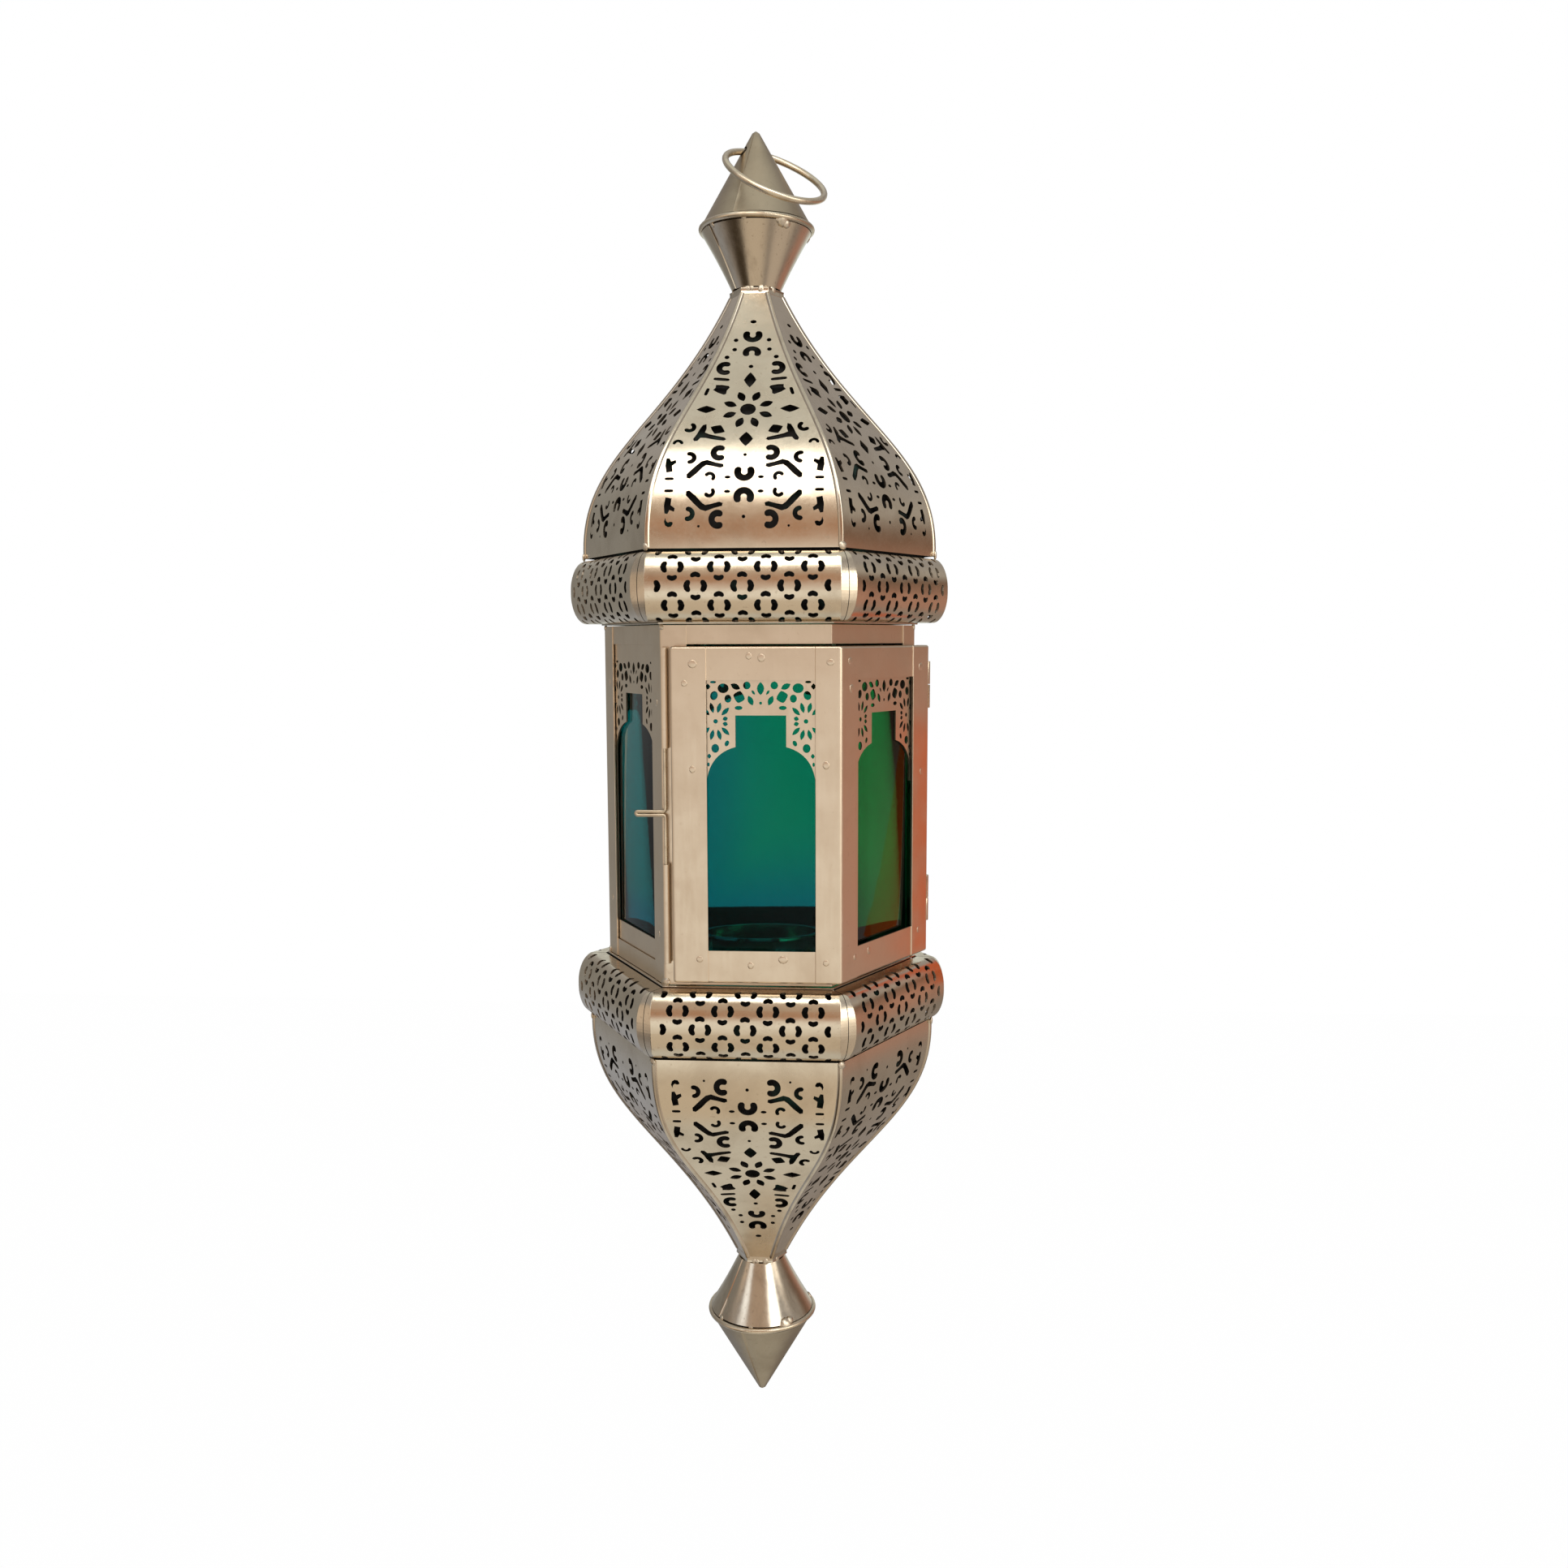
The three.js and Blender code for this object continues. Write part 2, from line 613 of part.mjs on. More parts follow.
// A long wire that turns in two sleeves, with a hairpin pull bent out of it.
function buildLatch(parent) {
  const y = -(BODY_APOTHEM + GAP + LATCH_SLEEVE);
  const [bareBottom, bareTop] = LATCH_BARE;
  const [bottom, top] = LATCH_ENDS;
  const upper = tube(LATCH_AT, y, LATCH_SLEEVE, LATCH_BORE, bareTop, top);
  add(parent, "latch_sleeve_upper", upper, BRASS);
  const lower = tube(LATCH_AT, y, LATCH_SLEEVE, LATCH_BORE, bottom, bareBottom);
  add(parent, "latch_sleeve_lower", lower, BRASS);
  const half = LATCH_PULL_SPREAD / 2;
  const straight = LATCH_PULL - half - LATCH_RADIUS;
  const bend = [0, 1, 2, 3, 4].map((i) => (i * Math.PI) / 4);
  const hairpin = new THREE.CatmullRomCurve3([
    new THREE.Vector3(0, 0, half),
    new THREE.Vector3(-straight / 2, 0, half),
    ...bend.map((a) => new THREE.Vector3(-straight - half * Math.sin(a), 0, half * Math.cos(a))),
    new THREE.Vector3(-straight / 2, 0, -half),
    new THREE.Vector3(0, 0, -half),
  ]);
  const circle = new THREE.EllipseCurve(0, 0, LATCH_RADIUS, LATCH_RADIUS);
  const section = new THREE.Shape(circle.getPoints(8));
  const pull = new THREE.ExtrudeGeometry(section, { steps: 24, extrudePath: hairpin });
  const wire = bar(LATCH_AT, y, LATCH_RADIUS, bottom + GAP, top - GAP, 12);
  const made = wire.add(solid(pull.translate(LATCH_AT, y, LATCH_PULL_HEIGHT)));
  add(parent, "latch_wire", made, WIRE);
}

// ---- assembly ----

function buildEnd(parent, prefixes, hangs) {
  buildMoulding(parent, prefixes.moulding);
  buildDome(parent, prefixes.shell);
  buildFinial(parent, prefixes.finial, hangs);
}

function buildLantern() {
  const lantern = new THREE.Group();
  lantern.position.z = -RING_HEIGHT;
  const above = { moulding: "upper_ring_", shell: "dome_", finial: "finial_top_" };
  const below = { moulding: "lower_ring_", shell: "bowl_", finial: "finial_bottom_" };
  buildEnd(lantern, above, true);
  const mirrored = new THREE.Group();
  mirrored.scale.z = -1;
  lantern.add(mirrored);
  buildEnd(mirrored, below, false);
  buildHangingRing(lantern);
  buildCage(lantern);
  buildFixedFaces(lantern);
  buildDecks(lantern);
  buildDoor(lantern);
  buildHinge(lantern);
  buildLatch(lantern);
  return lantern;
}

export default buildLantern();
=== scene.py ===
"""Looks of a hanging candle lantern: pierced sheet, tinted panes and bent wire round its frame."""

import json
import logging
import math
from collections.abc import Callable, Iterable, Sequence
from dataclasses import dataclass, replace
from enum import Enum
from typing import Any, ClassVar

import bmesh
import bpy
import numpy as np
from mathutils import Matrix, Vector

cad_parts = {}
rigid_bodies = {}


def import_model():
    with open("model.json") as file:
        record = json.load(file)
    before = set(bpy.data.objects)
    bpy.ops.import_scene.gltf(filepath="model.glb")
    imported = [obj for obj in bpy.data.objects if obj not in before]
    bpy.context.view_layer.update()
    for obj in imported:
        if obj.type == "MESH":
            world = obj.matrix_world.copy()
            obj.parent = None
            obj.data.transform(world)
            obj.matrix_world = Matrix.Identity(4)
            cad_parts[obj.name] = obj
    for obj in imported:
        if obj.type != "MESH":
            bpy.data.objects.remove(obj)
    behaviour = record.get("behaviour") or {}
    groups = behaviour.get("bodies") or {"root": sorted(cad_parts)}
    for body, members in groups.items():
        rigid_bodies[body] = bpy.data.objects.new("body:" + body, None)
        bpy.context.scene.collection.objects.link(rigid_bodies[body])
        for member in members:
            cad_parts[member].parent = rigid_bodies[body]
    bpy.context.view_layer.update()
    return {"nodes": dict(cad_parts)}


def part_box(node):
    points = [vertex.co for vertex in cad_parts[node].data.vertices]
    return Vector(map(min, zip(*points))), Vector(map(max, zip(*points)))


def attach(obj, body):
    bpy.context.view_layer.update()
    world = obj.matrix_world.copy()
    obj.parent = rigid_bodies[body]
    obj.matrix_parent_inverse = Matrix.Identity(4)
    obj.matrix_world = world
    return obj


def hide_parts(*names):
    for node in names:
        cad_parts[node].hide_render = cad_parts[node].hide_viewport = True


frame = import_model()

LOG = logging.getLogger("lantern")

MM = 0.001
COS30 = math.cos(math.pi / 6)
TAN30 = math.tan(math.pi / 6)
SIN30 = 0.5
_CAGE_LOW, _CAGE_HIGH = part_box("body_cage")
MIDDLE = (_CAGE_LOW.z + _CAGE_HIGH.z) / 2  # height of the glazed body's middle
SMALL = 0.02  # step for measuring a surface's slope, in millimetres

Point = tuple[float, float]
Place = Callable[[np.ndarray, np.ndarray, float], np.ndarray]
Colour = tuple[float, float, float]
Obj = bpy.types.Object
Mesh = bpy.types.Mesh
Tree = bpy.types.NodeTree
Material = bpy.types.Material


def bearing(degrees: float) -> Vector:
    """The level way that looks in a direction."""
    a = math.radians(degrees)
    return Vector((math.cos(a), math.sin(a), 0))


def polar(degrees: float, out: float, height: float = 0.0) -> Vector:
    """Finds a place by direction, distance out and height above the glazed body's middle."""
    a, reach = math.radians(degrees), out * MM
    return Vector((reach * math.cos(a), reach * math.sin(a), MIDDLE + height * MM))


# ---- named options


class Part(Enum):
    """A body that moves as one."""

    LANTERN = "lantern"
    DOOR = "door"
    LATCH = "latch"
    RING = "ring"


class Slot(Enum):
    """A material slot of the record."""

    PIERCED = "pierced_sheet"
    FRAME = "frame_sheet"
    WIRE = "wire"
    CUP = "cup_sheet"
    BLUE = "blue_glass"
    GREEN = "green_glass"


class End(Enum):
    """The upper or the lower half of the lantern; the value turns heights over."""

    UPPER = 1
    LOWER = -1


class Side(Enum):
    """One of the six faces, by the direction that it looks in, in degrees."""

    FRONT = 270
    RIGHT = 330
    BACK_RIGHT = 30
    BACK = 90
    BACK_LEFT = 150
    LEFT = 210

    @property
    def label(self) -> str:
        """The face's name as the frame's nodes have it."""
        return self.name.lower()

    @property
    def out(self) -> Vector:
        """The way that the face looks."""
        return bearing(self.value)

    @property
    def along(self) -> Vector:
        """The way along the face, to the right seen from outside."""
        angle = math.radians(self.value)
        return Vector((-math.sin(angle), math.cos(angle), 0))

    def at(self, along: float, apothem: float, height: float) -> Vector:
        """Finds a point on or near the face."""
        flat = self.along * along + self.out * apothem
        return Vector((flat.x * MM, flat.y * MM, MIDDLE + height * MM))

    def array(self, along: np.ndarray, apothem: np.ndarray, height: np.ndarray) -> np.ndarray:
        """Finds many points at once.

        Args:
            along: distances along the face.
            apothem: distances out from the axis.
            height: heights above the body's middle.

        Returns:
            An array of points in metres.
        """
        u, o = self.along, self.out
        x = u.x * along + o.x * apothem
        y = u.y * along + o.y * apothem
        return np.stack([x * MM, y * MM, MIDDLE + height * MM], axis=-1)


# ---- node trees


class Wiring:
    """Adds nodes to a tree and joins them."""

    def __init__(self, tree: Tree) -> None:
        """Takes the tree to fill."""
        self.tree = tree

    def node(self, kind: str, inputs: dict[Any, Any] | None = None, **settings: Any) -> Any:
        """Adds one node.

        Args:
            kind: the node's type name, short for the tree's own kind.
            inputs: socket name or number to a value, or to what feeds it.
            **settings: the node's own settings.

        Returns:
            The new node.
        """
        if not kind.startswith(("Node", "Shader", "Function")):
            kind = self.tree.bl_idname.removesuffix("Tree") + kind
        node = self.tree.nodes.new(kind)
        for key, value in settings.items():
            setattr(node, key, value)
        for key, value in (inputs or {}).items():
            value = value.outputs[0] if isinstance(value, bpy.types.Node) else value
            if isinstance(value, bpy.types.NodeSocket):
                self.tree.links.new(value, node.inputs[key])
            else:
                node.inputs[key].default_value = value
        return node

    def math(self, operation: str, a: Any, b: Any = 0.0, clamp: bool = False) -> Any:
        """Adds a Math node."""
        kind = "ShaderNodeMath"
        return self.node(kind, {0: a, 1: b}, operation=operation, use_clamp=clamp).outputs[0]

    def mix(self, share: Any, a: Any, b: Any) -> Any:
        """Adds a colour mix."""
        a, b = (c if isinstance(c, bpy.types.NodeSocket) else (*c, 1.0) for c in (a, b))
        return self.node("ShaderNodeMix", {0: share, 6: a, 7: b}, data_type="RGBA").outputs[2]

    def noise(self, vector: Any, scale: Any, detail: float = 2.0, roughness: float = 0.5,
            distortion: float = 0.0) -> Any:
        """Adds a noise texture."""
        return self.node("TexNoise", {"Vector": vector, "Scale": scale, "Detail": detail,
            "Roughness": roughness, "Distortion": distortion}).outputs[0]

    def named(self, label: str, kind: str) -> Any:
        """Reads a named attribute of a geometry's points."""
        return self.node("InputNamedAttribute", {"Name": label}, data_type=kind).outputs[0]

    def span(self, value: Any, low: float, high: float, to_low: float = 0.0,
            to_high: float = 1.0) -> Any:
        """Maps one range smoothly onto another."""
        return self.node("ShaderNodeMapRange", {"Value": value, 1: low, 2: high, 3: to_low,
            4: to_high}, interpolation_type="SMOOTHSTEP").outputs[0]


def new_group(name: str, kind: str, inputs: dict[str, Any],
        outputs: dict[str, str]) -> tuple[Tree, Wiring, Any]:
    """Starts a node group with named sockets.

    Args:
        name: the group's name.
        kind: the tree's type name.
        inputs: socket name to its usual value, or to its type where it has none.
        outputs: socket name to its type.

    Returns:
        The group, its wiring and the sockets that bring its inputs.
    """
    tree = bpy.data.node_groups.new(name, kind)
    types = {float: "Float", int: "Int", 3: "Vector", 4: "Color"}
    for label, usual in inputs.items():
        plain = isinstance(usual, str)
        key = len(usual) if isinstance(usual, tuple) else type(usual)
        socket = tree.interface.new_socket(label, in_out="INPUT",
            socket_type="NodeSocket" + (usual if plain else types[key]))
        if not plain:
            socket.default_value = usual
    for label, output in outputs.items():
        tree.interface.new_socket(label, in_out="OUTPUT", socket_type="NodeSocket" + output)
    wiring = Wiring(tree)
    return tree, wiring, wiring.node("NodeGroupInput").outputs


def close_geometry(wiring: Wiring, source: Any, geometry: Any) -> None:
    """Ends a geometry tree with real meshes and their material.

    Args:
        wiring: the tree's wiring.
        source: the sockets that bring its inputs.
        geometry: the socket to finish.
    """
    real = wiring.node("RealizeInstances", {"Geometry": geometry})
    dressed = wiring.node("SetMaterial", {"Geometry": real, "Material": source["Material"]})
    wiring.node("NodeGroupOutput", {0: dressed})


def pierced_sheet_tree() -> Tree:
    """Builds the tree that fills an outline and leaves a hole wherever a cutter stands.

    Returns:
        The geometry tree; its geometry input is the points where the cutters stand.
    """
    tree, wiring, source = new_group("Pierced sheet", "GeometryNodeTree",
        {"Geometry": "Geometry", "Cutters": "Collection", "Outline": "Object",
        "Material": "Material"}, {"Geometry": "Geometry"})

    cutters = wiring.node("CollectionInfo", {"Collection": source["Cutters"],
        "Separate Children": True, "Reset Children": True})
    placed = wiring.node("InstanceOnPoints", {"Points": source["Geometry"], "Instance": cutters,
        "Pick Instance": True, "Instance Index": wiring.named("cutter", "INT"),
        "Rotation": wiring.named("turn", "FLOAT_VECTOR"), "Scale": wiring.named("stretch",
        "FLOAT_VECTOR")})
    real = wiring.node("RealizeInstances", {"Geometry": placed})
    holes = wiring.node("MeshToCurve", {0: real})
    outline = wiring.node("ObjectInfo", {"Object": source["Outline"]})
    edge = wiring.node("MeshToCurve", {0: outline.outputs["Geometry"]})
    join = wiring.node("JoinGeometry")
    wiring.tree.links.new(holes.outputs[0], join.inputs[0])
    wiring.tree.links.new(edge.outputs[0], join.inputs[0])
    sheet = wiring.node("FillCurve", {"Curve": join})
    close_geometry(wiring, source, sheet)
    return tree


def wire_tree() -> Tree:
    """Builds the tree that runs round wire along a path of edges.

    Returns:
        The geometry tree.
    """
    tree, wiring, source = new_group("Wire along a path", "GeometryNodeTree",
        {"Geometry": "Geometry", "Wire Radius": MM, "Sides": 12, "Material": "Material"},
        {"Geometry": "Geometry"})
    path = wiring.node("MeshToCurve", {0: source["Geometry"]})
    section = wiring.node("CurvePrimitiveCircle",
        {"Resolution": source["Sides"], "Radius": source["Wire Radius"]})
    drawn = wiring.node("CurveToMesh", {"Curve": path,
        "Profile Curve": section, "Fill Caps": True})
    smooth = wiring.node("SetShadeSmooth", {0: drawn})
    close_geometry(wiring, source, smooth)
    return tree


def solder_tree() -> Tree:
    """Builds the tree that sets a low uneven lump of metal at each point.

    Returns:
        The geometry tree; its points carry a facing direction and a size.
    """
    tree, wiring, source = new_group("Solder lumps", "GeometryNodeTree",
        {"Geometry": "Geometry", "Flatness": 0.4, "Unevenness": 0.2, "Seed": 7,
        "Material": "Material"}, {"Geometry": "Geometry"})
    facing, size = wiring.named("facing", "FLOAT_VECTOR"), wiring.named("size", "FLOAT")
    lump = wiring.node("MeshIcoSphere", {"Radius": 1.0, "Subdivisions": 2})
    turned = wiring.node("FunctionNodeAlignRotationToVector", {"Vector": facing}, axis="Z")
    uneven = source["Unevenness"]
    low = wiring.math("SUBTRACT", 1.0, uneven)
    high = wiring.math("ADD", 1.0, uneven)
    stretch = wiring.node("FunctionNodeRandomValue", {2: low, 3: high,
        "Seed": source["Seed"]}, data_type="FLOAT").outputs[1]
    wide = wiring.math("MULTIPLY", size, stretch)
    thick = wiring.math("MULTIPLY", size, source["Flatness"])
    scale = wiring.node("ShaderNodeCombineXYZ", {0: wide, 1: size, 2: thick})
    placed = wiring.node("InstanceOnPoints", {"Points": source["Geometry"],
        "Instance": lump, "Rotation": turned, "Scale": scale})
    smooth = wiring.node("SetShadeSmooth", {0: placed})
    close_geometry(wiring, source, smooth)
    return tree


# ---- making meshes


def new_object(name: str, mesh: Mesh) -> Obj:
    """Links a mesh to the scene at the origin.

    Args:
        name: the object's name.
        mesh: its mesh.

    Returns:
        The new object.
    """
    obj = bpy.data.objects.new(name, mesh)
    bpy.context.scene.collection.objects.link(obj)
    return obj


def mesh_of(
    name: str, points: Sequence[Any], faces: Sequence[Any] = (), edges: Sequence[Any] = ()
) -> Mesh:
    """Makes a mesh from lists.

    Args:
        name: the mesh's name.
        points: its corners.
        faces: corner numbers of each face.
        edges: corner numbers of each loose edge.

    Returns:
        The mesh.
    """
    mesh = bpy.data.meshes.new(name)
    mesh.from_pydata([tuple(p) for p in points], list(edges), list(faces))
    mesh.update()
    return mesh


def loops_mesh(name: str, loops: Sequence[Sequence[Point]], scale: float = MM) -> Mesh:
    """Makes a mesh of closed flat loops of edges.

    Args:
        name: the mesh's name.
        loops: each loop's points.
        scale: what the points are multiplied by.

    Returns:
        The mesh.
    """
    points: list[tuple[float, float, float]] = []
    edges: list[tuple[int, int]] = []
    for loop in loops:
        start, count = len(points), len(loop)
        points += [(x * scale, y * scale, 0.0) for x, y in loop]
        edges += [(start + i, start + (i + 1) % count) for i in range(count)]
    return mesh_of(name, points, edges=edges)


def discard(obj: Obj) -> None:
    """Removes a scratch object and its mesh."""
    mesh = obj.data
    bpy.data.objects.remove(obj)
    bpy.data.meshes.remove(mesh)


def settled(obj: Obj) -> Obj:
    """Turns an object with modifiers into a plain mesh.

    Args:
        obj: the object; its modifiers go.

    Returns:
        The same object.
    """
    graph = bpy.context.evaluated_depsgraph_get()
    mesh = bpy.data.meshes.new_from_object(obj.evaluated_get(graph), depsgraph=graph)
    old = obj.data
    obj.modifiers.clear()
    obj.data = mesh
    mesh.name = obj.name
    bpy.data.meshes.remove(old)
    return obj


def grown(obj: Obj, tree: Tree, values: dict[str, Any]) -> Obj:
    """Runs a geometry tree on an object and keeps the result as a plain mesh.

    Args:
        obj: the object that the tree starts from.
        tree: the geometry tree.
        values: input name to its value.

    Returns:
        The same object with its new mesh.
    """
    modifier = obj.modifiers.new(tree.name, "NODES")
    modifier.node_group = tree
    for item in tree.interface.items_tree:
        if item.in_out == "INPUT" and item.name in values:
            modifier[item.identifier] = values[item.name]
    return settled(obj)


def softened(obj: Obj, width: float, segments: int = 2) -> Obj:
    """Rounds an object's sharp edges and shades it smooth.

    Args:
        obj: a closed solid.
        width: width of the rounding, in millimetres.
        segments: steps across it.

    Returns:
        The same object.
    """
    for face in obj.data.polygons:
        face.use_smooth = True
    bevel = obj.modifiers.new("Soft edges", "BEVEL")
    bevel.width = width * MM
    bevel.segments = segments
    bevel.limit_method = "ANGLE"
    bevel.angle_limit = math.radians(35)
    bevel.harden_normals = True
    bevel.use_clamp_overlap = True
    return settled(obj)


def smooth_by_angle(obj: Obj, degrees: float = 32) -> Obj:
    """Shades an object smooth but for edges sharper than an angle."""
    for face in obj.data.polygons:
        face.use_smooth = True
    obj.data.set_sharp_from_angle(angle=math.radians(degrees))
    return obj


def copied(node: str, name: str, width: float) -> Obj:
    """Makes a softened copy of a frame node's solid.

    Args:
        node: the node's name.
        name: the copy's name.
        width: width of the edges' rounding, in millimetres.

    Returns:
        The copy.
    """
    mesh = frame["nodes"][node].data.copy()
    bm = bmesh.new()
    bm.from_mesh(mesh)
    bmesh.ops.remove_doubles(bm, verts=bm.verts, dist=0.002 * MM)
    flat = math.radians(1)
    bmesh.ops.dissolve_limit(bm, angle_limit=flat, verts=bm.verts, edges=bm.edges)
    bm.to_mesh(mesh)
    bm.free()
    mesh.materials.clear()
    mesh.normals_split_custom_set([(0, 0, 0)] * len(mesh.loops))
    return softened(new_object(name, mesh), width)


def swept(name: str, sections: Sequence[Sequence[Vector]], closed: bool = False) -> Obj:
    """Joins closed sections into one solid.

    Args:
        name: the object's name.
        sections: rings of the same number of points, in order.
        closed: whether the last section joins the first.

    Returns:
        The object, with its faces turned out.
    """
    count = len(sections[0])
    points = [p for section in sections for p in section]
    faces: list[Any] = []
    rings = len(sections) if closed else len(sections) - 1
    for ring in range(rings):
        a, b = ring * count, ((ring + 1) % len(sections)) * count
        for i in range(count):
            j = (i + 1) % count
            faces.append((a + i, a + j, b + j, b + i))
    if not closed:
        faces.append(tuple(reversed(range(count))))
        faces.append(tuple(range((len(sections) - 1) * count, len(sections) * count)))
    return turned_out(new_object(name, mesh_of(name, points, faces)))


def ringed(name: str, outline: Sequence[Point], count: int = 6, end: End = End.UPPER) -> Obj:
    """Sweeps a closed outline round the axis.

    Args:
        name: the object's name.
        outline: distance out and height of each point; with six steps, out to the flats.
        count: how many steps it goes round in.
        end: the half that it is for.

    Returns:
        The object.
    """
    flats = COS30 if count == 6 else 1.0
    rings = [[polar(360 * i / count, out / flats, end.value * z) for out, z in outline]
        for i in range(count)]
    return swept(name, rings, closed=True)


def turned_out(obj: Obj) -> Obj:
    """Merges an object's doubled corners and points its faces outwards."""
    bm = bmesh.new()
    bm.from_mesh(obj.data)
    bmesh.ops.remove_doubles(bm, verts=bm.verts, dist=0.001 * MM)
    bmesh.ops.recalc_face_normals(bm, faces=bm.faces)
    bm.to_mesh(obj.data)
    bm.free()
    return obj


def upright(name: str, outline: Sequence[Vector], bottom: float, top: float,
        width: float = 0.12) -> Obj:
    """Makes a softened prism that stands on an outline in plan, from one height to another."""
    rings = [[Vector((p.x, p.y, MIDDLE + z * MM)) for p in outline] for z in (bottom, top)]
    return softened(swept(name, rings), width)


def joined(name: str, objects: Sequence[Obj]) -> Obj:
    """Joins meshes into one object.

    Args:
        name: the name of the result.
        objects: the objects, which are used up.

    Returns:
        The joined object.
    """
    first = objects[0]
    with bpy.context.temp_override(active_object=first, object=first,
            selected_editable_objects=list(objects)):
        bpy.ops.object.join()
    first.name = name
    first.data.name = name
    return first


def dress(obj: Obj, material: Material, slot: Slot, *nodes: str, part: Part = Part.LANTERN) -> Obj:
    """Gives a finished piece its material and its place in the frame.

    Args:
        obj: the piece.
        material: its material.
        slot: the record's slot that it belongs to; not used.
        *nodes: frame nodes that it stands for.
        part: the body that it moves with.

    Returns:
        The piece.
    """
    obj.data.materials.clear()
    obj.data.materials.append(material)
    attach(obj, part.value)
    if nodes:
        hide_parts(*nodes)
    LOG.info("%s: %d faces, moves with %s", obj.name, len(obj.data.polygons), part.value)
    return obj


# ---- cutters


def arc_points(radius: float, start: float, end: float, steps: int) -> list[Point]:
    """Lists points on an arc about the origin, with its angles in degrees."""
    angles = [math.radians(start + (end - start) * i / steps) for i in range(steps + 1)]
    return [(radius * math.cos(a), radius * math.sin(a)) for a in angles]


def crescent(sweep: float, stroke: float) -> list[Point]:
    """Draws a bent stroke with round ends and its gap at the top.

    Args:
        sweep: how far it goes round, in degrees.
        stroke: its width as a share of its outer radius.

    Returns:
        Its outline, one unit wide.
    """
    outer, inner = 0.5, 0.5 * (1 - stroke)
    start, end = -90 - sweep / 2, -90 + sweep / 2
    middle, half = (outer + inner) / 2, (outer - inner) / 2
    outline = arc_points(outer, start, end, 14)
    for turn, base in ((end, 0), (start, 180)):
        cx = middle * math.cos(math.radians(turn))
        cy = middle * math.sin(math.radians(turn))
        for step in (45, 90, 135):
            a = math.radians(turn + base + step)
            outline.append((cx + half * math.cos(a), cy + half * math.sin(a)))
        if base == 0:
            outline += arc_points(inner, end, start, 10)
    return outline


def bulged(power: float, count: int = 16) -> list[Point]:
    """Draws a round, leaning to a diamond below two and to a block above it."""
    outline = []
    for i in range(count):
        a = 2 * math.pi * i / count
        c, s = math.cos(a), math.sin(a)
        radius = 0.5 / (abs(c) ** power + abs(s) ** power) ** (1 / power)
        outline.append((radius * c, radius * s))
    return outline


def leaf(pointed: float = 1.0) -> list[Point]:
    """Draws a leaf with its tips to either side."""
    xs = [-0.5, -0.38, -0.22, 0.0, 0.22, 0.38]
    upper = [(x, 0.5 * (1 - abs(2 * x) ** (1 + pointed))) for x in xs]
    return [(x, -y) for x, y in upper] + [(-x, y) for x, y in upper]


class Cutter(Enum):
    """A punch's outline; the value is the points, a unit across or in millimetres."""

    ROUND = tuple(bulged(2.0, 14))
    DIAMOND = tuple(bulged(1.15))
    BLOCK = tuple(bulged(4.5))
    LEAF = tuple(leaf())
    HORSESHOE = tuple(crescent(225, 0.70))
    CURL = tuple(crescent(180, 0.66))
    HOOK = tuple(crescent(150, 0.60))
    BEAN = ((-0.22, -0.5), (0.1, -0.46), (0.36, -0.28), (0.5, 0.0), (0.36, 0.28), (0.1, 0.46),
        (-0.22, 0.5), (-0.46, 0.42), (-0.5, 0.26), (-0.36, 0.0), (-0.5, -0.26), (-0.46, -0.42))
    FAN = ((-0.5, -0.28), (-0.1, -0.44), (0.38, -0.5), (0.5, -0.36), (0.42, 0.0), (0.5, 0.36),
        (0.38, 0.5), (-0.1, 0.44), (-0.5, 0.28), (-0.42, 0.0))
    COMMA = ((-0.5, 0.1), (-0.42, -0.3), (-0.1, -0.5), (0.26, -0.4), (0.5, 0.0), (0.5, 0.5),
        (0.3, 0.16), (0.06, 0.04), (-0.14, 0.24), (-0.4, 0.3))
    BRANCH = ((14.6, 48.9), (14.4, 46.6), (14.9, 44.8), (13.4, 44.0), (10.8, 43.2), (7.6, 42.3),
        (7.1, 41.4), (8.0, 40.8), (11.5, 41.4), (14.5, 42.2), (16.4, 42.3), (17.4, 40.9),
        (18.6, 40.8), (19.0, 41.8), (17.8, 44.0), (17.0, 46.2), (15.9, 48.4))
    ROOF = ((7.4, 29.6), (8.6, 29.1), (11.5, 29.9), (13.6, 30.3), (14.9, 29.3), (17.0, 26.9),
        (19.3, 24.9), (20.4, 25.2), (20.5, 26.7), (17.7, 29.7), (15.4, 31.9), (13.4, 32.5),
        (10.4, 31.4), (7.6, 30.7))
    SPUR = ((25.5, 27.8), (27.7, 27.4), (28.2, 30.2), (28.0, 33.2), (26.9, 33.4), (26.2, 32.0),
        (24.6, 32.6), (24.3, 31.4), (25.8, 30.2))


ORDER = {cutter: index for index, cutter in enumerate(Cutter)}
SHAPED_IN_PLACE = (Cutter.BRANCH, Cutter.ROOF, Cutter.SPUR)


@dataclass(frozen=True)
class Cut:
    """One punched hole of a flat pattern, in millimetres and degrees."""

    cutter: Cutter
    x: float
    y: float
    width: float
    height: float
    turn: float = 0.0

    def mirrored(self) -> "Cut":
        """The same hole on the other side of the pattern's middle line."""
        return replace(self, x=-self.x, width=-self.width, turn=-self.turn)

    def flipped(self, about: float) -> "Cut":
        """The same hole turned over a level line."""
        y = 2 * about - self.y
        return replace(self, y=y, height=-self.height, turn=-self.turn)


def pair(*values: Any) -> list[Cut]:
    """Makes a hole and its mirror image."""
    cut = Cut(*values)
    return [cut, cut.mirrored()]


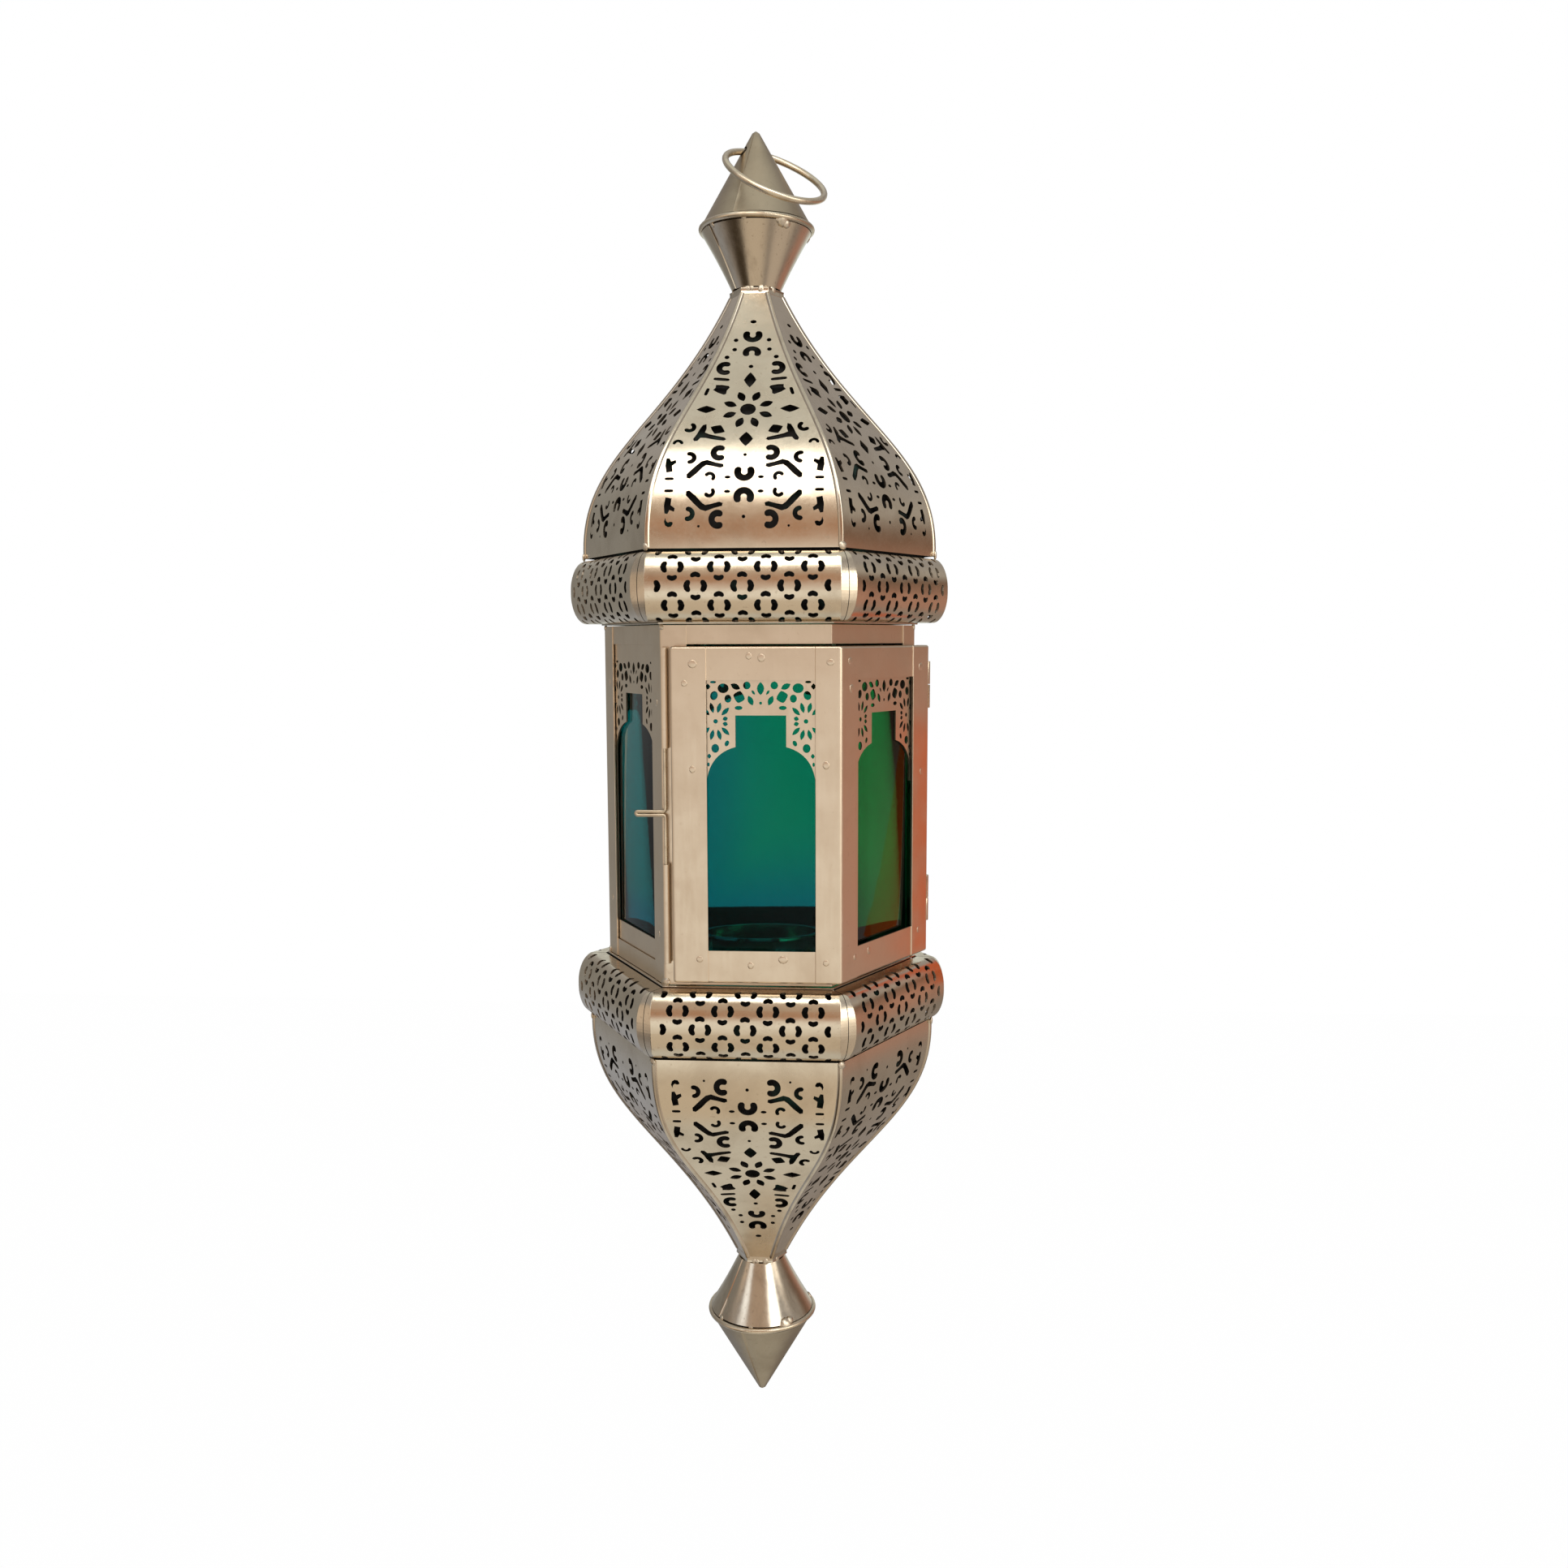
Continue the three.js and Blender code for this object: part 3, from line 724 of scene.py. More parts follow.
def flat_sheet(
    name: str, loops: Sequence[Sequence[Point]], cuts: Sequence[Cut], tree: bpy.types.NodeTree
) -> Mesh:
    """Cuts a flat sheet with the pierced sheet tree.

    Args:
        name: the sheet's name.
        loops: its outline, and any opening in it.
        cuts: its punched holes.
        tree: the pierced sheet tree.

    Returns:
        A flat mesh in metres, which its caller bends and thickens.
    """
    punches = bpy.data.collections.new(name + "_cutters")
    bpy.context.scene.collection.children.link(punches)
    for cutter, index in ORDER.items():
        scale = MM if cutter in SHAPED_IN_PLACE else 1.0
        punch = bpy.data.objects.new(f"cut_{index:02d}", loops_mesh("cut", [cutter.value], scale))
        punches.objects.link(punch)
    outline = new_object(name + "_outline", loops_mesh(name, loops))
    points = [(c.x * MM, c.y * MM, 0.0) for c in cuts] or [(9.0, 0.0, 0.0)]
    seeds = new_object(name, mesh_of(name, points))
    data = {"cutter": ("INT", "value", [ORDER[c.cutter] for c in cuts]),
        "turn": ("FLOAT_VECTOR", "vector", [(0, 0, math.radians(c.turn)) for c in cuts]),
        "stretch": ("FLOAT_VECTOR", "vector", [stretch_of(c) for c in cuts])}
    for label, (kind, key, values) in data.items():
        attribute = seeds.data.attributes.new(label, kind, "POINT")
        number = int if kind == "INT" else float
        attribute.data.foreach_set(key, np.array(values, number).ravel())
    grown(seeds, tree, {"Cutters": punches, "Outline": outline})
    mesh = seeds.data
    bpy.data.objects.remove(seeds)
    discard(outline)
    for punch in list(punches.objects):
        discard(punch)
    bpy.data.collections.remove(punches)
    return mesh


def stretch_of(cut: Cut) -> tuple[float, float, float]:
    """How much a cutter is stretched at its place."""
    if cut.cutter in SHAPED_IN_PLACE:
        return (cut.width, cut.height, 1.0)
    return (cut.width * MM, cut.height * MM, 1.0)


def scored(mesh: Mesh, across: Iterable[float], upright_lines: Iterable[float]) -> None:
    """Splits a flat mesh along lines so that it can bend there.

    Args:
        mesh: the flat mesh, which is changed.
        across: heights of level lines, in millimetres.
        upright_lines: places of upright lines.
    """
    bm = bmesh.new()
    bm.from_mesh(mesh)
    lines = [((0, y * MM, 0), (0, 1, 0)) for y in across]
    lines += [((x * MM, 0, 0), (1, 0, 0)) for x in upright_lines]
    for origin, direction in lines:
        geometry = bm.verts[:] + bm.edges[:] + bm.faces[:]
        bmesh.ops.bisect_plane(bm, geom=geometry, dist=1e-7, plane_co=origin, plane_no=direction)
    bm.to_mesh(mesh)
    bm.free()


def folded(name: str, flat: Mesh, place: Place, thickness: float, over: bool = False,
        inside_painted_shade: float = 1.0) -> Obj:
    """Bends a flat sheet onto a surface and gives it its thickness.

    Args:
        name: the object's name.
        flat: the flat mesh, which is kept for other uses.
        place: takes flat x and y in millimetres and a depth below the outer face, and
            gives points in metres.
        thickness: the sheet's thickness in millimetres.
        over: whether the place turns the sheet over, as on the lower half.
        inside_painted_shade: how dark its inside is, from 0 to 1.

    Returns:
        The object, with normals taken from the surface; "cut" marks its sheared edges and
        its inside, which darken toward the edge colour: painted shade, on the edges partly the
        real sheared metal.
    """
    count = len(flat.vertices)
    co = np.empty(count * 3)
    flat.vertices.foreach_get("co", co)
    co = co.reshape(-1, 3) / MM
    x, y = co[:, 0], co[:, 1]
    sign = -1.0 if over else 1.0

    def normals(depth: float) -> np.ndarray:
        """Works out the surface's outward normals at a depth."""
        dx = place(x + SMALL, y, depth) - place(x - SMALL, y, depth)
        dy = place(x, y + SMALL, depth) - place(x, y - SMALL, depth)
        made = sign * np.cross(dx, dy)
        return made / np.maximum(np.linalg.norm(made, axis=1, keepdims=True), 1e-12)

    points = np.concatenate([place(x, y, 0.0), place(x, y, thickness)])
    outer, inner = normals(0.0), -normals(thickness)
    rings = [list(p.vertices) for p in flat.polygons]
    rings = [r[::-1] if p.normal.z < 0 else r for r, p in zip(rings, flat.polygons)]
    if over:
        rings = [r[::-1] for r in rings]
    used: dict[tuple[int, int], int] = {}
    for ring in rings:
        for a, b in zip(ring, ring[1:] + ring[:1]):
            used[(a, b)] = used.get((a, b), 0) + 1
    rim = [(a, b) for a, b in used if (b, a) not in used]
    faces = rings + [[v + count for v in reversed(r)] for r in rings]
    faces += [[b, a, a + count, b + count] for a, b in rim]
    corners = [outer[v] for r in rings for v in r]
    corners += [inner[v] for r in rings for v in reversed(r)]
    for a, b in rim:
        wall = np.cross(points[a] - points[b], points[a + count] - points[b])
        wall = wall / max(np.linalg.norm(wall), 1e-12)
        corners += [wall] * 4
    mesh = mesh_of(name, points, faces)
    for face in mesh.polygons:
        face.use_smooth = True
    cut = mesh.attributes.new("cut", "FLOAT", "FACE")
    # The inside and the sheared walls darken toward the edge colour: painted shade for what shows
    # through the holes, on the walls partly real sheared metal.
    shares = [0.0] * len(rings) + [inside_painted_shade] * len(rings) + [0.85] * len(rim)
    cut.data.foreach_set("value", shares)
    mesh.normals_split_custom_set([tuple(n) for n in corners])
    return new_object(name, mesh)


# ---- finishes


def satin_grain_group() -> Tree:
    """Builds the fine brushed grain of rolled sheet: a height and a change of gloss."""
    tree, wiring, source = new_group("Satin grain", "ShaderNodeTree",
        {"Vector": "Vector", "Stretch": (1.0, 1.0, 1.0), "Fineness": 900.0},
        {"Height": "Float", "Gloss": "Float"})
    drawn = wiring.node("VectorMath", {0: source["Vector"],
        1: source["Stretch"]}, operation="MULTIPLY")
    fine = wiring.noise(drawn, source["Fineness"], 3.0, 0.6)
    broad = wiring.noise(source["Vector"], 130.0, 2.0)
    gloss = wiring.math("ADD", fine, broad)
    gloss = wiring.math("MULTIPLY", gloss, 0.5)
    wiring.node("NodeGroupOutput", {"Height": fine, "Gloss": gloss})
    return tree


def tarnish_group() -> Tree:
    """Builds blotchy tarnish with small dark specks."""
    tree, wiring, source = new_group("Tarnish", "ShaderNodeTree",
        {"Vector": "Vector", "Clean": (1.0, 1.0, 1.0, 1.0), "Dull": (0.3, 0.2, 0.1, 1.0),
        "Amount": 0.4, "Patch": 45.0}, {"Colour": "Color", "Mask": "Float"})
    patches = wiring.noise(source["Vector"], source["Patch"], 5.0, 0.62, 0.4)
    broad = wiring.span(patches, 0.42, 0.72)
    specks = wiring.noise(source["Vector"], 620.0, 1.0)
    dots = wiring.span(specks, 0.66, 0.74, 0.0, 0.7)
    both = wiring.math("MAXIMUM", broad, dots)
    mask = wiring.math("MULTIPLY", both, source["Amount"], clamp=True)
    colour = wiring.mix(mask, source["Clean"], source["Dull"])
    wiring.node("NodeGroupOutput", {"Colour": colour, "Mask": mask})
    return tree


def sheared_edge_group() -> Tree:
    """Builds the darker, rougher metal of sheared and punched edges and of the sheet's inside:
    partly real sheared metal, partly painted shade.
    """
    tree, wiring, source = new_group("Sheared edge", "ShaderNodeTree",
        {"Colour": (1.0, 1.0, 1.0, 1.0), "Edge": (0.3, 0.2, 0.1, 1.0), "Amount": 1.0},
        {"Colour": "Color", "Mask": "Float"})
    cut = wiring.node("Attribute", attribute_name="cut").outputs["Fac"]
    mask = wiring.math("MULTIPLY", cut, source["Amount"], clamp=True)
    colour = wiring.mix(mask, source["Colour"], source["Edge"])
    wiring.node("NodeGroupOutput", {"Colour": colour, "Mask": mask})
    return tree


def dents_group() -> Tree:
    """Builds the slow waves of thin sheet that was bent by hand."""
    tree, wiring, source = new_group("Hand bent waves", "ShaderNodeTree",
        {"Vector": "Vector", "Waves": 28.0, "Dents": 90.0}, {"Height": "Float"})
    slow = wiring.noise(source["Vector"], source["Waves"], 1.0)
    small = wiring.noise(source["Vector"], source["Dents"], 2.0)
    little = wiring.math("MULTIPLY", small, 0.16)
    wiring.node("NodeGroupOutput", {"Height": wiring.math("ADD", slow, little)})
    return tree


def dust_group() -> Tree:
    """Builds the dust that settles on faces that look up."""
    tree, wiring, source = new_group("Settled dust", "ShaderNodeTree",
        {"Vector": "Vector", "Colour": (1.0, 1.0, 1.0, 1.0), "Dust": (0.5, 0.46, 0.4, 1.0),
        "Amount": 0.2}, {"Colour": "Color", "Mask": "Float"})
    shape = wiring.node("NewGeometry")
    level = wiring.node("SeparateXYZ", {0: shape.outputs["Normal"]}).outputs[2]
    upward = wiring.span(level, 0.35, 1.0)
    grit = wiring.noise(source["Vector"], 240.0, 4.0)
    gritty = wiring.span(grit, 0.35, 0.7, 0.2, 1.0)
    mask = wiring.math("MULTIPLY", upward, gritty)
    mask = wiring.math("MULTIPLY", mask, source["Amount"], clamp=True)
    colour = wiring.mix(mask, source["Colour"], source["Dust"])
    wiring.node("NodeGroupOutput", {"Colour": colour, "Mask": mask})
    return tree


class Shop:
    """The shared node groups and geometry trees, each made once."""

    def __init__(self) -> None:
        """Makes them all."""
        self.grain = satin_grain_group()
        self.tarnish = tarnish_group()
        self.edge = sheared_edge_group()
        self.dents = dents_group()
        self.dust = dust_group()
        self.pierce = pierced_sheet_tree()
        self.wire = wire_tree()
        self.solder = solder_tree()


def blank_material(name: str) -> tuple[Material, Wiring]:
    """Starts a material with an empty tree.

    Args:
        name: the material's name.

    Returns:
        The material and its wiring.
    """
    material = bpy.data.materials.new(name)
    material.use_nodes = True
    material.node_tree.nodes.clear()
    return material, Wiring(material.node_tree)


@dataclass(frozen=True)
class MetalFinish:
    """A plated sheet or wire: its colours, gloss and unevenness."""

    name: str
    clean: Colour
    dull: Colour
    # Colour of sheared edges and the sheet's inside: partly real sheared metal, partly painted
    # shade.
    edge: Colour
    gloss: tuple[float, float]
    stretch: Colour = (1.0, 1.0, 1.0)
    fineness: float = 900.0
    # Stretches the tarnish patches into streaks; on the rolled sheet partly painted reflection
    # bands.
    streak: Colour = (1.0, 1.0, 1.0)
    tarnish: float = 0.4
    patch: float = 45.0
    waves: float = 28.0
    wave_height: float = 0.5
    grain_height: float = 0.004
    dust: float = 0.12

    def build(self, shop: Shop) -> Material:
        """Makes the material.

        Args:
            shop: the shared node groups.

        Returns:
            The material.
        """
        material, wiring = blank_material(self.name)
        place = wiring.node("TexCoord").outputs["Object"]
        grain = wiring.node("Group", {"Vector": place, "Stretch": self.stretch,
            "Fineness": self.fineness}, node_tree=shop.grain)
        # The tarnish is stretched into streaks here: partly tarnish, partly painted reflection
        # bands.
        streaked = wiring.node("Mapping", {"Vector": place, "Scale": self.streak})
        tarnish = wiring.node("Group", {"Vector": streaked, "Clean": (*self.clean, 1.0),
            "Dull": (*self.dull, 1.0), "Amount": self.tarnish, "Patch": self.patch},
            node_tree=shop.tarnish)
        # Sheared edges and the sheet's inside darken here: partly real sheared metal, partly
        # painted shade.
        edge = wiring.node("Group", {"Colour": tarnish.outputs["Colour"],
            "Edge": (*self.edge, 1.0)}, node_tree=shop.edge)
        dust = wiring.node("Group", {"Vector": place, "Colour": edge.outputs["Colour"],
            "Amount": self.dust}, node_tree=shop.dust)
        dents = wiring.node("Group", {"Vector": place, "Waves": self.waves}, node_tree=shop.dents)
        smooth, rough = self.gloss
        gloss = wiring.span(grain.outputs["Gloss"], 0.3, 0.7, smooth, rough)
        for mask, extra in ((tarnish, 0.14), (edge, 0.2), (dust, 0.5)):
            more = wiring.math("MULTIPLY", mask.outputs["Mask"], extra)
            gloss = wiring.math("ADD", gloss, more, clamp=True)
        waves = wiring.math("MULTIPLY", dents.outputs["Height"], self.wave_height * MM)
        fine = wiring.math("MULTIPLY", grain.outputs["Height"], self.grain_height * MM)
        height = wiring.math("ADD", waves, fine)
        bump = wiring.node("Bump", {"Height": height, "Strength": 1.0, "Distance": 1.0})
        shader = wiring.node("BsdfPrincipled", {"Base Color": dust.outputs["Colour"],
            "Roughness": gloss, "Metallic": 1.0, "Normal": bump})
        wiring.node("OutputMaterial", {0: shader})
        return material


@dataclass(frozen=True)
class GlassFinish:
    """A pane of tinted drawn glass."""

    name: str
    tint: Colour
    deep: Colour
    # Colour toward the pane's foot and left side: painted shade of the darker inside seen through
    # the glass.
    foot: Colour
    roughness: float = 0.035

    def build(self) -> Material:
        """Makes the material, whose panes let tinted light through to what is behind.

        Returns:
            The material.
        """
        material, wiring = blank_material(self.name)
        place = wiring.node("TexCoord").outputs["Object"]
        stretched = wiring.node("Mapping", {"Vector": place, "Scale": (1, 1, 0.35)})
        streaks = wiring.noise(stretched, 26.0, 3.0)
        share = wiring.span(streaks, 0.35, 0.68)
        tint = wiring.mix(share, self.tint, self.deep)
        # Painted shade: the tint turns to the foot colour toward the bottom and the left side, for
        # the darker inside seen through the pane.
        level = wiring.node("SeparateXYZ", {0: place})
        low = wiring.span(level.outputs[2], MIDDLE - 15 * MM, MIDDLE - 50 * MM)
        side = wiring.span(level, 5 * MM, -18 * MM, 0.0, 0.7)
        tint = wiring.mix(wiring.math("MAXIMUM", low, side), tint, self.foot)
        height = wiring.math("MULTIPLY", streaks, 0.25 * MM)
        bump = wiring.node("Bump", {"Height": height, "Strength": 1.0, "Distance": 1.0})
        shader = wiring.node("BsdfPrincipled", {"Base Color": tint,
            "Roughness": self.roughness, "IOR": 1.45, "Specular Tint": (0.16, 0.2, 0.2, 1.0),
            "Transmission Weight": 1.0, "Normal": bump})
        clear = wiring.node("BsdfTransparent", {"Color": tint})
        path = wiring.node("LightPath")
        both = wiring.node("MixShader", {0: path.outputs["Is Shadow Ray"], 1: shader, 2: clear})
        wiring.node("OutputMaterial", {0: both})
        return material


@dataclass(frozen=True)
class FloorPaint:
    """The plain pale floor."""

    colour: Colour = (0.84, 0.82, 0.78)

    def build(self) -> Material:
        """Makes the floor's material, a matt paint that looks evenly lit to the eye.

        Returns:
            The material.
        """
        material, wiring = blank_material("Floor paint")
        place = wiring.node("TexCoord").outputs["Object"]
        mottle = wiring.noise(place, 3.0)
        pale = tuple(0.97 * c for c in self.colour)
        tint = wiring.mix(mottle, self.colour, pale)
        paint = wiring.node("BsdfPrincipled", {"Base Color": tint, "Roughness": 0.8})
        lit = wiring.node("Emission", {"Color": (1.0, 1.0, 1.0, 1.0)})
        path = wiring.node("LightPath")
        seen = wiring.math("MULTIPLY", path.outputs["Is Camera Ray"], 0.99)
        both = wiring.node("MixShader", {0: seen, 1: paint, 2: lit})
        wiring.node("OutputMaterial", {0: both})
        return material


class Finishes:
    """Every material of the lantern."""

    def __init__(self, shop: Shop) -> None:
        """Builds them all."""
        # The third colour darkens sheared edges and the sheet's inside: partly real sheared metal,
        # partly painted shade.
        champagne, dull, edge_and_shade_colour = (0.74, 0.63, 0.475), (0.46, 0.36, 0.25), (0.09, 0.07, 0.05)
        self.pierced = MetalFinish("Champagne sheet", champagne, dull, edge_and_shade_colour, (0.17, 0.25),
            tarnish=0.42, wave_height=0.5).build(shop)
        self.door = MetalFinish("Champagne strip", (0.79, 0.66, 0.50), (0.60, 0.47, 0.33), edge_and_shade_colour,
            (0.28, 0.38), stretch=(1.0, 1.0, 0.1), tarnish=0.3, wave_height=0.28).build(shop)
        # The rolled sheet's tarnish is stretched into upright streaks: partly tarnish, partly
        # painted reflection bands.
        self.spun = MetalFinish("Rolled cone sheet", (0.66, 0.56, 0.43), (0.40, 0.32, 0.23), edge_and_shade_colour,
            (0.12, 0.20), stretch=(1.0, 1.0, 0.06), streak=(2.2, 2.2, 0.25), tarnish=0.75,
            wave_height=0.35, grain_height=0.012).build(shop)
        # The cones get a darker, rougher copy of the rolled sheet; the darker colour is painted
        # shade.
        self.cone = MetalFinish("Dull cone sheet", (0.44, 0.36, 0.25), (0.28, 0.22, 0.15), edge_and_shade_colour,
            (0.34, 0.44), stretch=(1.0, 1.0, 0.06), wave_height=0.3).build(shop)
        self.wire = MetalFinish("Drawn wire", (0.72, 0.61, 0.45), (0.38, 0.29, 0.19), edge_and_shade_colour,
            (0.22, 0.34), patch=120.0, tarnish=0.5, wave_height=0.2).build(shop)
        self.solder = MetalFinish("Plated solder", (0.70, 0.61, 0.48), (0.34, 0.28, 0.20), edge_and_shade_colour,
            (0.28, 0.42), patch=300.0, tarnish=0.6, waves=260.0, wave_height=0.3).build(shop)
        self.cup = MetalFinish("Pressed cup metal", (0.68, 0.60, 0.49), (0.42, 0.35, 0.27), edge_and_shade_colour,
            (0.12, 0.20), stretch=(1.0, 1.0, 0.2)).build(shop)
        self.blue = GlassFinish("Blue-green glass", (0.03, 0.44, 0.32), (0.02, 0.37, 0.28),
            (0.02, 0.30, 0.36)).build()
        self.green = GlassFinish("Green glass", (0.012, 0.44, 0.21), (0.01, 0.36, 0.16),
            (0.01, 0.33, 0.17)).build()


# ---- wire and solder


@dataclass
class Bench:
    """What every sub-assembly is made with."""

    shop: Shop
    finish: Finishes

    def wire(self, name: str, path: Sequence[Vector], radius: float, closed: bool,
            sides: int = 12) -> Obj:
        """Runs round wire along a path.

        Args:
            name: the object's name.
            path: points in metres.
            radius: the wire's radius in millimetres.
            closed: whether the path joins up.
            sides: sides of the wire's section.

        Returns:
            The wire.
        """
        count = len(path)
        edges = [(i, i + 1) for i in range(count - 1)]
        if closed:
            edges.append((count - 1, 0))
        obj = new_object(name, mesh_of(name, path, edges=edges))
        values = {"Wire Radius": radius * MM, "Sides": sides, "Material": self.finish.wire}
        return turned_out(grown(obj, self.shop.wire, values))

    def lumps(self, name: str, spots: Sequence[tuple[Vector, Vector, float]], flatness: float,
            unevenness: float = 0.25, material: Material | None = None) -> Obj:
        """Sets lumps of metal on a surface.

        Args:
            name: the object's name.
            spots: place in metres, way out and radius in millimetres of each.
            flatness: height of a lump as a share of its radius.
            unevenness: how much their widths differ.
            material: what they are made of.

        Returns:
            All the lumps as one object.
        """
        obj = new_object(name, mesh_of(name, [p for p, _, _ in spots]))
        facing = obj.data.attributes.new("facing", "FLOAT_VECTOR", "POINT")
        facing.data.foreach_set("vector", [c for _, out, _ in spots for c in out])
        size = obj.data.attributes.new("size", "FLOAT", "POINT")
        size.data.foreach_set("value", [r * MM for _, _, r in spots])
        values = {"Flatness": flatness, "Unevenness": unevenness, "Seed": 7,
            "Material": material or self.finish.solder}
        return grown(obj, self.shop.solder, values)


# ---- dome and bowl


def bowed(start: Any, pull: Any, stop: Any, s: float) -> Any:
    """Finds a point on a line that bends toward a pull."""
    return (1 - s) ** 2 * start + 2 * s * (1 - s) * pull + s**2 * stop


def bezier(ends: Sequence[Point], share: np.ndarray) -> np.ndarray:
    """Finds points on a cubic curve.

    Args:
        ends: its four control points.
        share: how far along each point is, from 0 to 1.

    Returns:
        The points.
    """
    a, b, c, d = (np.array(p) for p in ends)
    s = share[:, None]
    return a * (1 - s) ** 3 + 3 * b * s * (1 - s) ** 2 + 3 * c * s**2 * (1 - s) + d * s**3


@dataclass
class Profile:
    """A sheet's outer line as distance out and height, followed by the length along it."""

    points: np.ndarray
    origin: float = 0.0

    def __post_init__(self) -> None:
        """Measures the line."""
        steps = np.diff(self.points, axis=0)
        lengths = np.hypot(steps[:, 0], steps[:, 1])
        self.run = np.concatenate([[0.0], np.cumsum(lengths)]) - self.origin
        slope = np.gradient(self.points, self.run, axis=0)
        slope /= np.hypot(slope[:, 0], slope[:, 1])[:, None]
        self.way = slope

    def at(self, run: np.ndarray, depth: float) -> tuple[np.ndarray, np.ndarray]:
        """Finds the line's distance out and height, at a depth below it.

        Args:
            run: lengths along the line.
            depth: depth below the outer face.

        Returns:
            The distances out and the heights.
        """
        out, height = (np.interp(run, self.run, self.points[:, i]) for i in (0, 1))
        way_out, way_up = (np.interp(run, self.run, self.way[:, i]) for i in (0, 1))
        return out - depth * way_up, height + depth * way_out


def dome_cuts() -> list[Cut]:
    """Lists the punched holes of one dome panel, measured up the sheet from its foot."""
    c = Cutter
    cuts = [Cut(c.ROUND, 0, 100.2, 2.4, 1.6), Cut(c.HORSESHOE, 0, 93.7, 7.4, 6.8),
        Cut(c.HORSESHOE, 0, 85.2, 7.0, 6.2, 180), Cut(c.ROUND, 0, 78.2, 1.8, 1.7),
        Cut(c.DIAMOND, 0, 71.3, 4.6, 7.8), Cut(c.ROUND, 0, 56.1, 5.8, 5.8),
        Cut(c.DIAMOND, 0, 41.6, 5.0, 6.6)]
    for k in range(8):
        angle = math.radians(22.5 + 45 * k)
        x, y = 7.1 * math.cos(angle), 56.1 + 7.1 * math.sin(angle)
        cuts.append(Cut(c.LEAF, x, y, 5.2, 3.0, 22.5 + 45 * k))
    for values in ((c.ROUND, 6.2, 91.4, 1.8, 1.7), (c.ROUND, 6.5, 86.8, 1.8, 1.7),
            (c.ROUND, 9.2, 83.0, 1.9, 1.8), (c.HORSESHOE, 9.6, 77.4, 6.8, 6.6, 90),
            (c.BLOCK, 10.6, 71.8, 6.0, 1.5, 7), (c.FAN, 10.4, 66.7, 5.4, 4.8, 200),
            (c.BLOCK, 15.6, 65.4, 1.3, 3.8, 15), (c.DIAMOND, 15.2, 56.3, 7.2, 3.8),
            (c.CURL, 20.6, 47.4, 4.9, 4.9, -50), (c.DIAMOND, 10.4, 46.2, 5.8, 4.6, 25),
            (c.HOOK, 24.3, 39.6, 4.0, 4.0, 180), (c.BRANCH, 0, 0, 1, 1),
            (c.ROUND, 15.9, 7.6, 0.9, 0.9), (c.COMMA, 26.6, 8.8, 3.2, 2.8, 20)):
        cuts += pair(*values)
    lower = [Cut(c.HORSESHOE, 0, 27.4, 7.4, 7.2), Cut(c.ROUND, 0, 34.5, 1.3, 1.3)]
    for values in ((c.HORSESHOE, 9.2, 35.4, 6.8, 6.4, 90), (c.CURL, 19.8, 33.4, 5.2, 5.2, -95),
            (c.ROOF, 0, 0, 1, 1), (c.SPUR, 0, 0, 1, 1), (c.BLOCK, 26.6, 25.0, 3.2, 1.1),
            (c.CURL, 12.2, 25.6, 4.2, 4.0, 215), (c.ROUND, 5.9, 25.4, 2.2, 1.2)):
        lower += pair(*values)
    return cuts + lower + [cut.flipped(22.7) for cut in lower]


@dataclass
class SubAssembly:
    """Pieces of the lantern that are made together."""

    bench: Bench


@dataclass
class Mirrored(SubAssembly):
    """Pieces that stand above the glazed body and again, upside down, below it."""

    names: ClassVar[tuple[str, str]]
    end: End

    @property
    def label(self) -> str:
        """The name that its nodes start with."""
        return self.names[self.end is End.LOWER]


@dataclass
class PiercedBand(Mirrored):
    """Six pierced sheets bent onto one shape."""

    def outline(self, levels: Sequence[float]) -> list[Point]:
        """Draws a flat sheet's outline, with points at lengths up its two edges."""
        outs, _ = self.profile.at(np.array(levels), 0.0)
        right = list(zip(outs * TAN30 - self.seam, levels))
        return right + [(-x, y) for x, y in reversed(right)]

    def panels(self, stem: str) -> None:
        """Bends the six sheets.

        Args:
            stem: what the names of their frame nodes start with.
        """
        flat = self.flat()
        for side in Side:
            name = stem + side.label
            over = self.end is End.LOWER
            sheet = folded(name + "_pierced", flat, self.place(side), self.sheet, over)
            dress(sheet, self.bench.finish.pierced, Slot.PIERCED, name)
        bpy.data.meshes.remove(flat)


